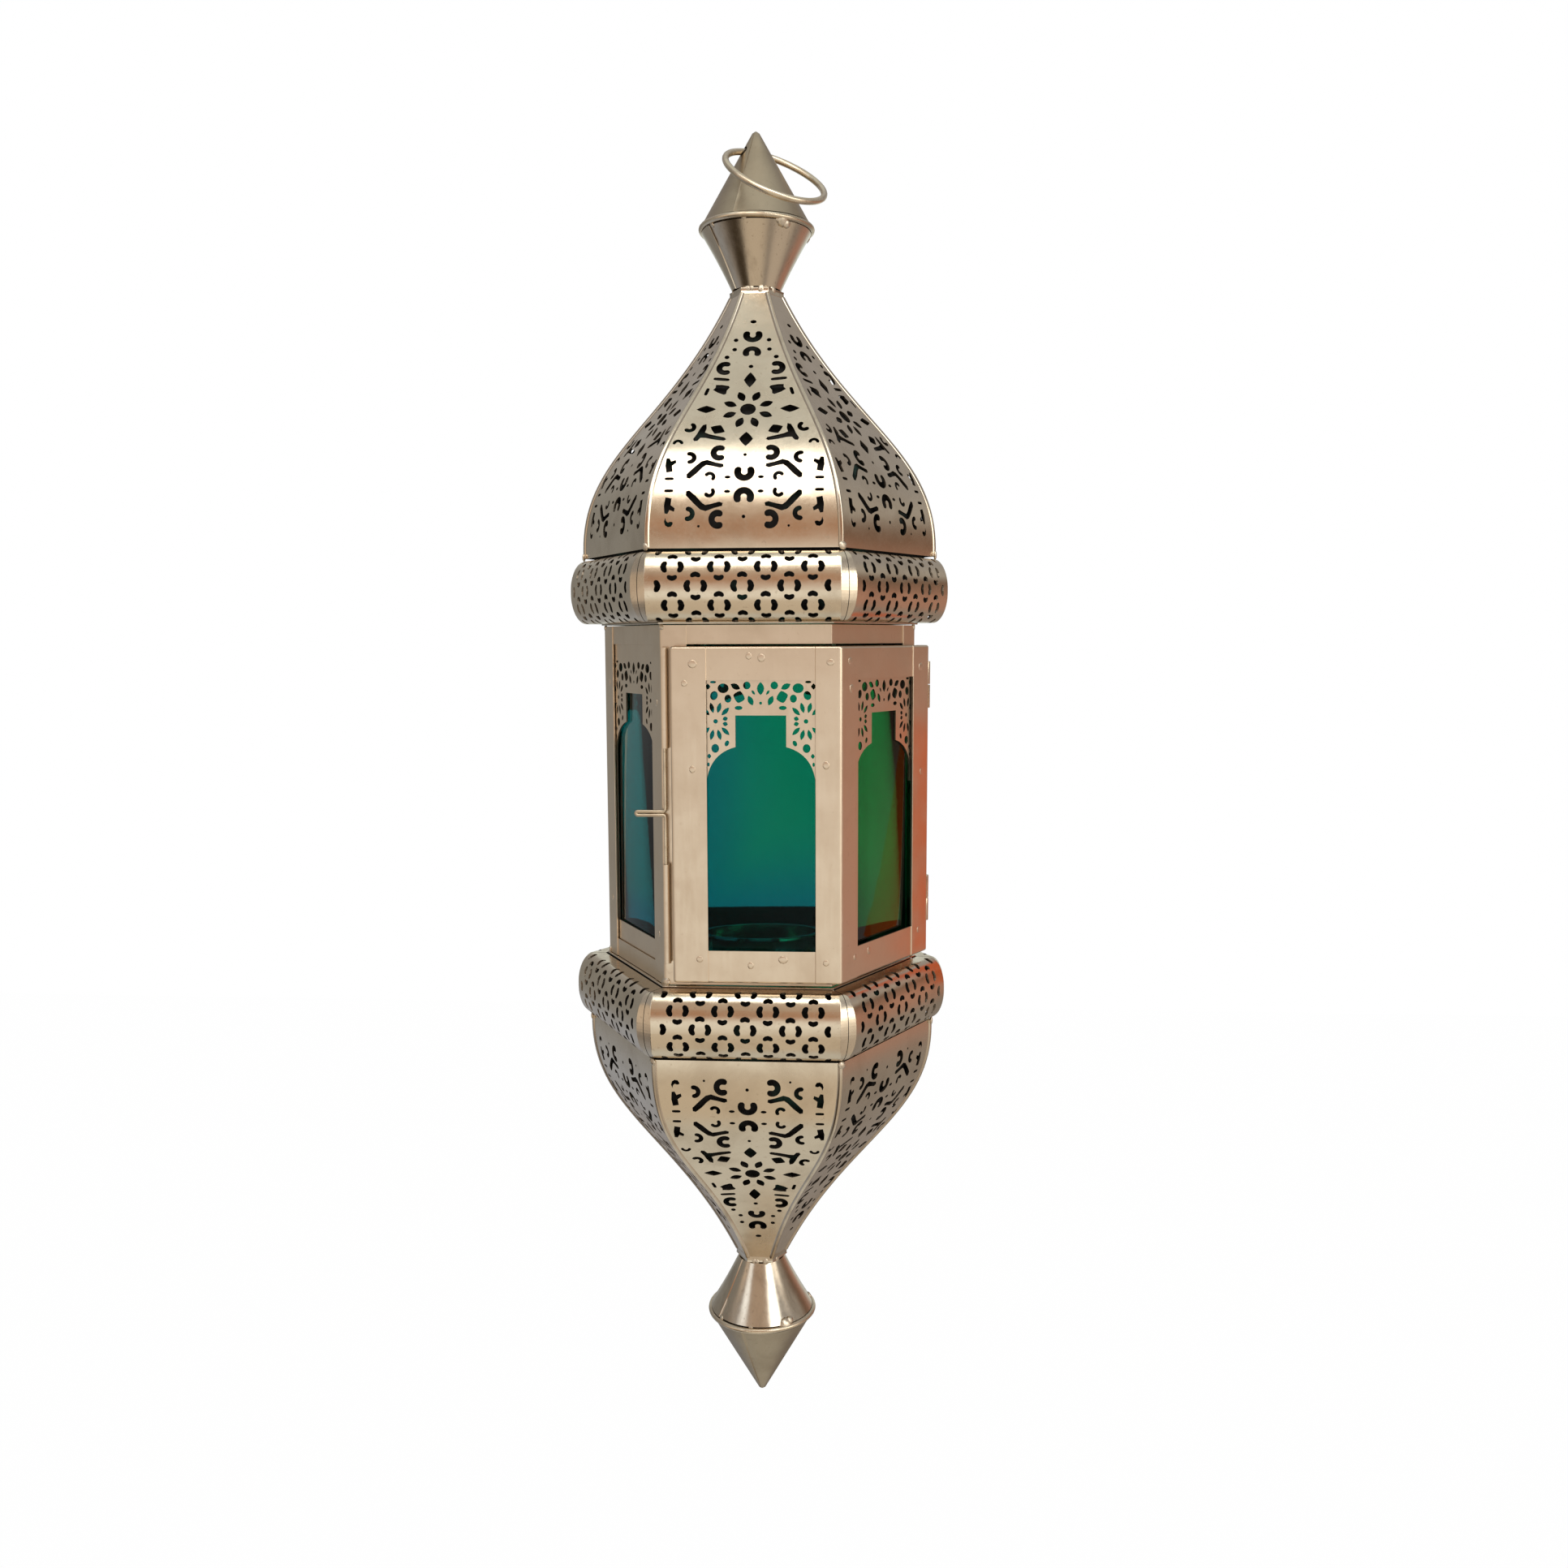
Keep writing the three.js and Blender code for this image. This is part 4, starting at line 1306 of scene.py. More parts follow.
@dataclass
class Dome(PiercedBand):
    """Six pierced ogee panels with raised corner strips, standing up or hanging as a bowl."""

    names: ClassVar[tuple[str, str]] = ("dome", "bowl")
    start: float = 92.8  # height of its foot above the body's middle
    height: float = 100.0
    foot: float = 60.0  # apothem of its foot
    neck: float = 8.7
    sheet: float = 0.7
    seam: float = 0.12  # between a panel's edge and the corner
    rib_half: float = 1.4
    rib_gap: float = 0.0
    rib_rise: float = 0.55
    stations: int = 46

    def __post_init__(self) -> None:
        """Draws the ogee."""
        flare = self.foot - self.neck
        shares = ((0, 1), (0.406, 1.03), (0.498, 0.433), (1, 0))
        ends = [(self.neck + flare * o, self.start + self.height * r) for r, o in shares]
        self.profile = Profile(bezier(ends, np.linspace(0, 1, 400)))
        self.length = float(self.profile.run[-1])

    def flat(self) -> Mesh:
        """Cuts one panel flat.

        Returns:
            The flat panel, scored where it bends.
        """
        levels = np.linspace(0, self.length, self.stations)
        mesh = flat_sheet(self.label + "_flat", [self.outline(levels)], dome_cuts(),
            self.bench.shop.pierce)
        scored(mesh, levels[1:-1], [])
        return mesh

    def place(self, side: Side) -> Place:
        """Makes the function that bends a flat panel onto a face of the dome."""

        def bend(x: np.ndarray, y: np.ndarray, depth: float) -> np.ndarray:
            """Puts flat points on the dome's surface."""
            out, height = self.profile.at(y, depth)
            return side.array(x, out, self.end.value * height)

        return bend

    def corner_section(self, side: Side, other: Side, run: float) -> list[Vector]:
        """Draws a corner strip's section.

        Args:
            side: the face to the left of the corner seen from outside.
            other: the face to its right.
            run: length up the sheet.

        Returns:
            The section's points.
        """
        section = []
        top, under = -self.rib_gap - self.rib_rise, -self.rib_gap
        outer = [(self.rib_half, 0.5), (self.rib_half - 0.35, 0.2), (0.6, 0.02), (0.15, 0.05)]
        points = [(side, 1, w, top + drop) for w, drop in outer]
        points += [(other, -1, w, top + drop) for w, drop in reversed(outer)]
        points += [(other, -1, self.rib_half, under), (other, -1, 0.0, under)]
        points += [(side, 1, self.rib_half, under)]
        for face, hand, width, depth in points:
            out, height = self.profile.at(np.array([run]), depth)
            a, z = float(out[0]), float(height[0])
            section.append(face.at(hand * (a * TAN30 - width), a, self.end.value * z))
        return section

    def ribs(self) -> None:
        """Makes the corner strips and the collar at the neck."""
        sides = list(Side)
        strips = []
        for side, other in zip(sides, sides[1:] + sides[:1]):
            runs = np.linspace(0.4, self.length - 0.8, 40)
            sections = [self.corner_section(side, other, float(r)) for r in runs]
            strip = swept(f"{self.label}_strip_{side.label}", sections)
            strips.append(smooth_by_angle(strip, 50))
        strips.append(self.collar())
        ribs = joined(self.label + "_corner_strips", strips)
        dress(ribs, self.bench.finish.spun, Slot.PIERCED, self.label + "_ribs")

    def collar(self) -> Obj:
        """Makes the six-sided collar round the neck.

        Returns:
            The collar.
        """
        top = self.start + self.height
        outline = [(self.neck + 0.1, top - 1.2), (self.neck + 0.55, top - 1.2),
            (self.neck + 0.5, top - 0.4), (self.neck + 0.4, top + 0.5),
            (self.neck + 0.55, top + 1.3), (self.neck - 0.4, top + 1.4)]
        return softened(ringed(self.label + "_collar", outline, end=self.end), 0.3, 2)

    def solder(self) -> None:
        """Puts solder round the neck and at a few corners of the foot."""
        spots = []
        top = self.start + self.height
        for angle, rise, size in ((250, 1.4, 1.5), (262, 1.7, 1.1), (286, 1.5, 1.8),
                (296, 0.6, 1.2), (318, 1.6, 1.3), (12, 1.5, 1.4), (70, 1.6, 1.7), (128, 1.3, 1.2),
                (190, 1.5, 1.5)):
            height = self.end.value * (top + rise - 0.6)
            spots.append((polar(angle, self.neck + 0.4, height), bearing(angle), size))
        for corner in range(0, 360, 60):
            place = polar(corner, (self.foot + 0.3) / COS30, self.end.value * (self.start + 0.6))
            spots.append((place, bearing(corner), 1.5))
        obj = self.bench.lumps(self.label + "_solder", spots, 0.42)
        dress(obj, self.bench.finish.solder, Slot.PIERCED)

    def build(self) -> None:
        """Makes the panels, strips, collar and solder."""
        self.panels(self.label + "_panel_")
        self.ribs()
        self.solder()


# ---- mouldings


@dataclass
class Moulding(PiercedBand):
    """A six-sided band of pierced sheet with rolled edges and pinched corners."""

    names: ClassVar[tuple[str, str]] = ("upper_ring", "lower_ring")
    apothem: float = 66.2
    start: float = 67.0
    height: float = 24.8
    rounding: float = 6.2
    round_height: float = 11.8
    lip_in: float = 55.2
    lip_out: float = 58.5
    sheet: float = 0.7
    seam: float = 0.15
    pinch: float = 1.9  # how deep the corner is pressed in
    pitch: float = 8.2  # between columns of rings, half a repeat

    def __post_init__(self) -> None:
        """Draws the band's section."""
        r, tall = self.rounding, self.round_height
        middle, top = self.start + tall, self.start + self.height - tall
        axis = self.apothem - r
        line = [(self.lip_in, self.start)]
        for centre, first in ((middle, -90), (top, 0)):
            turned = arc_points(1, first, first + 90, 16)
            line += [(axis + r * c, centre + tall * s) for c, s in turned]
        line.append((self.lip_out, self.start + self.height))
        runs = Profile(np.array(line)).run
        self.reach = float(runs[-2] - runs[1]) / 2  # to where the band turns level
        self.profile = Profile(np.array(line), float(runs[1]) + self.reach)

    def pinch_at(self, run: np.ndarray) -> np.ndarray:
        """How deep the corner is pressed in, at lengths from the band's middle."""
        share = np.clip(1 - (run / self.reach) ** 2, 0, 1)
        return self.pinch * share**0.6

    def cuts(self) -> list[Cut]:
        """Lists the holes: rings of four beans set in staggered columns."""
        cuts = []
        for k in range(-4, 5):
            x = k * self.pitch
            levels = (0.0, 13.6, -13.6) if k % 2 == 0 else (6.8, -6.8)
            for y in levels:
                wide = abs(y) < 13
                for hand in (-1, 1):
                    if abs(x + hand * 3.0) < 32.0:
                        cuts.append(Cut(Cutter.BEAN, x + hand * 3.0, y, hand * 2.5, 4.3))
                    if abs(k) < 4 and (wide or hand * y < 0):
                        turn = 90.0 * hand
                        cuts.append(Cut(Cutter.BEAN, x, y + hand * 4.0, 2.1, 3.7, turn))
        return cuts

    def flat(self) -> Mesh:
        """Cuts one side of the band flat.

        Returns:
            The flat strip, scored where it bends.
        """
        levels = [float(r) for r in self.profile.run]
        mesh = flat_sheet(self.label + "_flat", [self.outline(levels)], self.cuts(),
            self.bench.shop.pierce)
        steps = np.arange(0.4, 6.0, 0.4)
        edge = self.apothem * TAN30
        columns = [hand * (edge - s) for s in steps for hand in (-1, 1)]
        flats = list(np.linspace(-self.reach + 8, self.reach - 8, 9))
        scored(mesh, levels[1:-1] + flats, columns)
        return mesh

    def place(self, side: Side) -> Place:
        """Makes the function that bends a flat strip onto a side of the band."""

        def bend(x: np.ndarray, y: np.ndarray, depth: float) -> np.ndarray:
            """Puts flat points on the band, pressed in at the corners."""
            out, height = self.profile.at(y, depth)
            inset = out - self.profile.at(y, 0.0)[0]
            x = x * (1 + inset / 66)
            reach = out * COS30 + np.abs(x) * SIN30
            excess = np.maximum(reach - (out / COS30 - self.pinch_at(y)), 0)
            return side.array(x - np.sign(x) * excess * SIN30, out - excess * COS30,
                self.end.value * height)

        return bend

    def build(self) -> None:
        """Makes the six strips."""
        self.panels(self.label + "_")


# ---- finials and ring


@dataclass
class Finial(Mirrored):
    """A rolled funnel and cone with a wire round the widest edge."""

    names: ClassVar[tuple[str, str]] = ("finial_top", "finial_bottom")
    start: float = 194.5
    neck_radius: float = 9.4
    funnel_height: float = 21.4
    hollow: float = 0.35  # how much the funnel is drawn in halfway up
    radius: float = 21.0
    cone_height: float = 35.3
    cone_start: float = 218.7
    tip_radius: float = 0.9
    bead_radius: float = 1.1
    bead_height: float = 217.3
    wall: float = 0.8
    lap: float = 0.4  # how proud the lapped seam is
    hole_radius: float = 2.1
    hole_height: float = 245.5
    hole_turn: float = 35.0

    def rolled(self, name: str, outline: Sequence[Point], seam: float) -> Obj:
        """Rolls a closed outline about the axis, with a lapped seam.

        Args:
            name: the object's name.
            outline: distance out and height of each point.
            seam: the seam's direction in degrees.

        Returns:
            The rolled sheet.
        """
        count = 96
        angles = [seam + 1.2 + 358.8 * i / (count - 1) for i in range(count)]
        rings = []
        for index, angle in enumerate(angles):
            share = index / (count - 1)
            proud = self.lap * (max(0.0, share - 0.86) / 0.14) ** 1.5
            rings.append([polar(angle, max(out + proud * min(1.0, out / 6), 0.02),
                self.end.value * height) for out, height in outline])
        return swept(name, rings, closed=True)

    def funnel(self) -> None:
        """Makes the funnel from the neck to the rim."""
        top = self.start + self.funnel_height
        steps = 8
        outer = []
        for s in (i / steps for i in range(steps + 1)):
            r = self.neck_radius + (self.radius - self.neck_radius) * s
            r -= self.hollow * math.sin(math.pi * s)
            outer.append((r, self.start + (top - self.start) * s))
        inner = [(r - self.wall, z) for r, z in reversed(outer)]
        obj = self.rolled(self.label + "_funnel_rolled", outer + inner, 218)
        smooth_by_angle(obj, 40)
        node = self.label + "_funnel"
        dress(obj, self.bench.finish.spun, Slot.PIERCED, node)

    def cone(self) -> None:
        """Makes the cone above the rim, holed where the ring passes."""
        tip = self.cone_start + self.cone_height
        slope = (self.radius - self.tip_radius) / self.cone_height
        outer = []
        for i in range(12):
            rise = (self.cone_height - 1.0) * i / 11
            outer.append((self.radius - slope * rise, self.cone_start + rise))
        outline = outer + [(self.tip_radius * 0.8, tip - 0.45), (0.02, tip)]
        outline += [(0.02, tip - 2 * self.wall), (self.radius - self.wall, self.cone_start)]
        obj = self.rolled(self.label + "_cone_rolled", outline, 251)
        if self.end is End.UPPER:
            self.pierce(obj)
        smooth_by_angle(obj, 40)
        node = self.label + "_cone"
        dress(obj, self.bench.finish.cone, Slot.PIERCED, node)

    def pierce(self, obj: Obj) -> None:
        """Bores the ring's two holes.

        Args:
            obj: the cone.
        """
        bm = bmesh.new()
        turn = Matrix.Rotation(math.radians(self.hole_turn), 4, "Z")
        level = Matrix.Rotation(math.pi / 2, 4, "Y")
        lift = Matrix.Translation((0, 0, MIDDLE + self.hole_height * MM))
        bmesh.ops.create_cone(bm, cap_ends=True, segments=28, radius1=self.hole_radius * MM,
            radius2=self.hole_radius * MM, depth=60 * MM, matrix=lift @ turn @ level)
        mesh = bpy.data.meshes.new("bore")
        bm.to_mesh(mesh)
        bm.free()
        bore = new_object("bore", mesh)
        cut = obj.modifiers.new("Ring holes", "BOOLEAN")
        cut.object = bore
        cut.operation = "DIFFERENCE"
        cut.solver = "EXACT"
        settled(obj)
        discard(bore)

    def rim(self) -> None:
        """Lays the wire round the widest edge, with solder under it."""
        path = []
        for i in range(96):
            a = math.radians(3.75 * i)
            z = self.end.value * (self.bead_height + 0.14 * math.sin(2 * a))
            path.append(polar(3.75 * i, self.radius + 0.3 + 0.12 * math.sin(3 * a + 1.0), z))
        obj = self.bench.wire(self.label + "_rim_wire", path, self.bead_radius, True, 14)
        dress(obj, self.bench.finish.wire, Slot.WIRE, self.label + "_rim")
        spots = []
        for angle, drop, size in ((303, -1.6, 2.3), (308, -2.6, 1.6), (298, -1.2, 1.4),
                (222, -1.4, 1.3), (135, -1.5, 1.9), (60, -1.4, 1.5), (20, -1.5, 1.8),
                (262, -1.1, 0.9)):
            out = (bearing(angle) - Vector((0, 0, 0.4 * self.end.value))).normalized()
            height = self.end.value * (self.bead_height + drop)
            spots.append((polar(angle, self.radius - 0.2, height), out, size))
        lumps = self.bench.lumps(self.label + "_solder", spots, 0.4)
        dress(lumps, self.bench.finish.solder, Slot.PIERCED)

    def build(self) -> None:
        """Makes the funnel, the cone and the rim."""
        self.funnel()
        self.cone()
        self.rim()


@dataclass
class HangingRing(SubAssembly):
    """The wire ring that leans forward through the top cone."""

    radius: float = 19.5
    wire: float = 1.25
    lean: float = 40.0  # below level
    turn: float = 35.0
    hole_drop: float = 8.5  # of the holes below the cone's tip
    cone: tuple[float, float, float] = (21.0, 0.9, 35.3)  # foot radius, tip radius, height

    def build(self) -> None:
        """Makes the ring."""
        foot, tip, tall = self.cone
        chord_half = foot + (tip - foot) * (tall - self.hole_drop) / tall
        reach = math.sqrt(self.radius**2 - chord_half**2)
        turn = Matrix.Rotation(math.radians(self.turn), 3, "Z")
        lean = Matrix.Rotation(math.radians(self.lean) - math.pi, 3, "X")
        path = []
        for i in range(120):
            a = math.radians(3 * i)
            wobble = 1 + 0.006 * math.sin(2 * a + 0.7)
            flat = Vector((self.radius * wobble * math.cos(a), self.radius * math.sin(a), 0))
            flat.y += reach
            path.append(turn @ (lean @ (flat * MM)))
        obj = self.bench.wire("hanging_ring_wire", path, self.wire, True, 14)
        dress(obj, self.bench.finish.wire, Slot.WIRE, "hanging_ring", part=Part.RING)


# ---- windows


def fret_cuts(stretch: float) -> list[Cut]:
    """Lists the holes of a window's fretwork.

    Args:
        stretch: the window's width over the narrowest pattern's.

    Returns:
        The holes, from the window's middle and down from its top.
    """
    c = Cutter
    cuts = [Cut(c.LEAF, 0, -3.0, 4.7, 2.6, 90), Cut(c.ROUND, 0, -8.2, 1.0, 1.1)]
    for x, y, width, height, turn, cutter in ((4.9, -1.9, 2.7, 2.8, 0, c.ROUND),
            (9.0, -2.3, 3.8, 2.1, 28, c.LEAF), (13.4, -2.9, 4.0, 3.5, 0, c.ROUND),
            (16.7, -5.5, 2.7, 3.3, 20, c.ROUND), (18.9, -2.3, 1.9, 2.2, 0, c.DIAMOND),
            (17.0, -0.7, 2.2, 0.9, 0, c.ROUND), (11.7, -6.6, 2.5, 2.9, 0, c.ROUND),
            (7.7, -6.0, 3.4, 3.8, -30, c.BLOCK), (3.6, -7.3, 3.8, 2.0, 65, c.LEAF),
            (2.6, -4.4, 2.0, 0.9, 55, c.LEAF), (7.9, -9.9, 2.8, 1.5, 0, c.ROUND),
            (16.4, -24.4, 2.8, 3.2, 0, c.ROUND), (12.2, -22.6, 1.5, 2.2, 25, c.ROUND),
            (18.6, -27.2, 1.5, 1.9, 0, c.DIAMOND), (18.9, -30.2, 0.9, 1.5, 0, c.ROUND),
            (16.2, -14.7, 1.6, 1.6, 0, c.ROUND)):
        cuts += pair(cutter, x, y, width, height, turn)
    for k in range(12):
        turn = 15 + 30 * k
        inner = turn in (165, 195)
        reach, length = (3.6, 1.9) if inner else (5.0, 3.9)
        a = math.radians(turn)
        x, y = 16.2 + reach * math.cos(a), -14.7 + reach * math.sin(a)
        if abs(x) < 21.0:
            cuts += pair(c.LEAF, x, y, length, 1.6, turn)
    return [replace(cut, x=cut.x * stretch) for cut in cuts]


@dataclass
class Fretwork(SubAssembly):
    """A plate with a pierced arch over a window."""

    side: Side
    left: float
    right: float
    bottom: float
    top: float
    window: Point
    window_top: float
    window_sill: float
    apothem: float
    sheet: float = 0.6
    notch_half: float = 9.1
    fret_depth: float = 12.6
    notch_depth: float = 11.3
    shoulder_depth: float = 11.7

    def arch(self) -> list[Point]:
        """Draws the arched opening's left half, its head and its right half.

        Returns:
            The points from the left spring over the head to the right spring.
        """
        left, right = self.window
        middle = (left + right) / 2
        crown = self.window_top - self.fret_depth
        shoulder = crown - self.notch_depth
        spring = shoulder - self.shoulder_depth
        pull = spring + 0.8 * self.shoulder_depth
        half = (right - left) / 2
        curve = []
        for i in range(13):
            x = bowed(half, half - 1.5, self.notch_half, i / 12)
            curve.append((x, bowed(spring, pull, shoulder, i / 12)))
        points = [(middle - x, y) for x, y in curve]
        points += [(middle - self.notch_half, crown), (middle + self.notch_half, crown)]
        return points + [(middle + x, y) for x, y in reversed(curve)]

    def loops(self) -> list[list[Point]]:
        """Draws the plate's outline with its opening.

        Returns:
            One loop for a plate that is open below, or else two.
        """
        left, right = self.window
        arch = self.arch()
        if self.window_sill < self.bottom:
            foot = [(right, self.bottom), (self.right, self.bottom), (self.right, self.top)]
            foot += [(self.left, self.top), (self.left, self.bottom), (left, self.bottom)]
            return [arch + foot]
        outline = [(self.left, self.bottom), (self.right, self.bottom), (self.right, self.top),
            (self.left, self.top)]
        return [outline, arch + [(right, self.window_sill), (left, self.window_sill)]]

    def build(self, name: str, part: Part, node: str) -> None:
        """Makes the plate.

        Args:
            name: the piece's name.
            part: the body that it moves with.
            node: the frame node that it stands for.
        """
        left, right = self.window
        middle = (left + right) / 2
        cuts = []
        for cut in fret_cuts((right - left) / 39.0):
            x, y = middle + cut.x, self.window_top + cut.y
            if self.left + 2 < x < self.right - 2:
                cuts.append(replace(cut, x=x, y=y))
        flat = flat_sheet(name, self.loops(), cuts, self.bench.shop.pierce)

        def lay(x: np.ndarray, y: np.ndarray, depth: float) -> np.ndarray:
            """Puts flat points on the plate's face."""
            return self.side.array(x, np.full_like(x, self.apothem - depth), y)

        plate = folded(name, flat, lay, self.sheet, inside_painted_shade=0.3)
        bpy.data.meshes.remove(flat)
        dress(plate, self.bench.finish.door, Slot.FRAME, node, part=part)


@dataclass
class Cage(SubAssembly):
    """The glazed body's hoops and angle posts, its fixed windows and their panes."""

    apothem: float = 53.7
    half: float = 66.1
    hoop: float = 7.0
    stile: float = 9.5
    sheet: float = 0.7
    panel_apothem: float = 52.7
    panel_half: float = 29.77
    panel_reach: float = 65.5
    sill: float = -51.4
    head: float = 53.0
    post_corners: tuple[int, ...] = (0, 60, 120, 180, 240)

    def hoop_band(self, name: str, bottom: float, top: float) -> Obj:
        """Makes one six-sided hoop between two heights."""
        inner, outer = self.apothem - self.sheet, self.apothem - 0.3
        outline = [(inner, bottom), (outer, bottom), (outer, top), (inner, top)]
        return softened(ringed(name, outline), 0.12)

    def post(self, corner: int) -> Obj:
        """Bends one angle post round a corner.

        Args:
            corner: the corner's direction in degrees.

        Returns:
            The post.
        """
        radius, outline = 1.6, []
        centre = bearing(corner) * (self.apothem - radius) / COS30
        for inset in (0.0, self.sheet):
            curve = [(centre + bearing(corner - 30 + 10 * i) * (radius - inset)) * MM
                for i in range(7)]
            legs = [self.leg(corner, hand, self.apothem - inset) for hand in (-1, 1)]
            line = [legs[0], *curve, legs[1]]
            outline += line[::-1] if inset else line
        return upright(f"post_{corner}", outline, -self.half, self.half, 0.15)

    def leg(self, corner: int, hand: int, apothem: float) -> Vector:
        """Finds the edge of a post's leg in plan."""
        normal, along = corner + 30 * hand, -hand * (self.apothem * TAN30 - self.stile)
        return (bearing(normal) * apothem + bearing(normal + 90) * along) * MM

    def build(self) -> None:
        """Makes the frame, the fixed windows and the panes."""
        pieces = [self.hoop_band("hoop_top", self.half - self.hoop, self.half),
            self.hoop_band("hoop_bottom", -self.half, self.hoop - self.half)]
        pieces += [self.post(corner) for corner in self.post_corners]
        cage = joined("body_cage_strips", pieces)
        dress(cage, self.bench.finish.door, Slot.FRAME, "body_cage")
        half = self.apothem * TAN30 - self.stile
        for side in (Side.BACK_RIGHT, Side.BACK, Side.BACK_LEFT, Side.LEFT):
            fret = Fretwork(self.bench, side, -self.panel_half, self.panel_half, -self.panel_reach,
                self.panel_reach, (-half, half), self.head, self.sill, self.panel_apothem)
            node = "window_panel_" + side.label
            fret.build(node + "_fretted", Part.LANTERN, node)
            pane = copied("window_glass_" + side.label, f"pane_{side.label}", 0.3)
            green = side is Side.BACK_RIGHT
            glass, slot = ((self.bench.finish.green, Slot.GREEN) if green
                else (self.bench.finish.blue, Slot.BLUE))
            dress(pane, glass, slot, "window_glass_" + side.label)
        self.solder()

    def solder(self) -> None:
        """Puts solder where the posts meet the hoops, and spot welds on the posts."""
        spots = []
        for corner in self.post_corners:
            for height, size in ((65.4, 1.5), (-65.3, 1.8)):
                place = polar(corner, (self.apothem - 0.6) / COS30, height)
                spots.append((place, bearing(corner), size))
        lumps = self.bench.lumps("body_cage_solder", spots, 0.45)
        dress(lumps, self.bench.finish.solder, Slot.FRAME)
        marks = []
        for side in (Side.BACK_RIGHT, Side.BACK, Side.BACK_LEFT, Side.LEFT):
            for along, height in ((-25.8, 44), (-26.3, -43), (26.2, 38), (25.7, -48)):
                marks.append((side.at(along, self.apothem, height), side.out, 1.35))
        welds = self.bench.lumps("body_cage_welds", marks, 0.13, 0.15, self.bench.finish.door)
        dress(welds, self.bench.finish.door, Slot.FRAME)


@dataclass
class CandleDecks(SubAssembly):
    """The plates that close the body and the cup for the candle."""

    cup_radius: float = 20.0
    cup_wall: float = 0.8
    cup_foot: float = -66.1
    cup_height: float = 13.0

    def cup(self) -> None:
        """Presses the cup, with a rolled lip and a rounded foot."""
        outer, wall = self.cup_radius, self.cup_wall
        foot, top = self.cup_foot, self.cup_foot + self.cup_height
        line = [(0.02, foot), (outer - 2.0, foot)]
        line += [(outer - 2 + 2 * c, foot + 2 + 2 * s) for c, s in arc_points(1, -75, 0, 5)]
        line += [(outer, top - 1.6), (outer, top - 0.6), (outer - 0.25, top - 0.1)]
        line += [(outer - 0.75, top), (outer - 1.25, top - 0.3), (outer - 1.35, top - 1.0)]
        line += [(outer - wall, top - 2.0), (outer - wall, foot + 2.0)]
        line += [(outer - 2 + 1.2 * c, foot + 2 + 1.2 * s) for c, s in arc_points(1, 0, -90, 5)]
        line += [(13.0, foot + 0.8), (12.4, foot + 1.2), (11.8, foot + 0.8), (0.02, foot + 0.8)]
        obj = smooth_by_angle(ringed("candle_cup_pressed", line, 72), 45)
        dress(obj, self.bench.finish.cup, Slot.CUP, "candle_cup")

    def build(self) -> None:
        """Makes the plates and the cup."""
        for node in ("top_deck", "floor_plate"):
            deck = copied(node, node + "_plate", 0.2)
            dress(deck, self.bench.finish.cup, Slot.PIERCED, node)
        self.cup()


# ---- door, hinge and latch


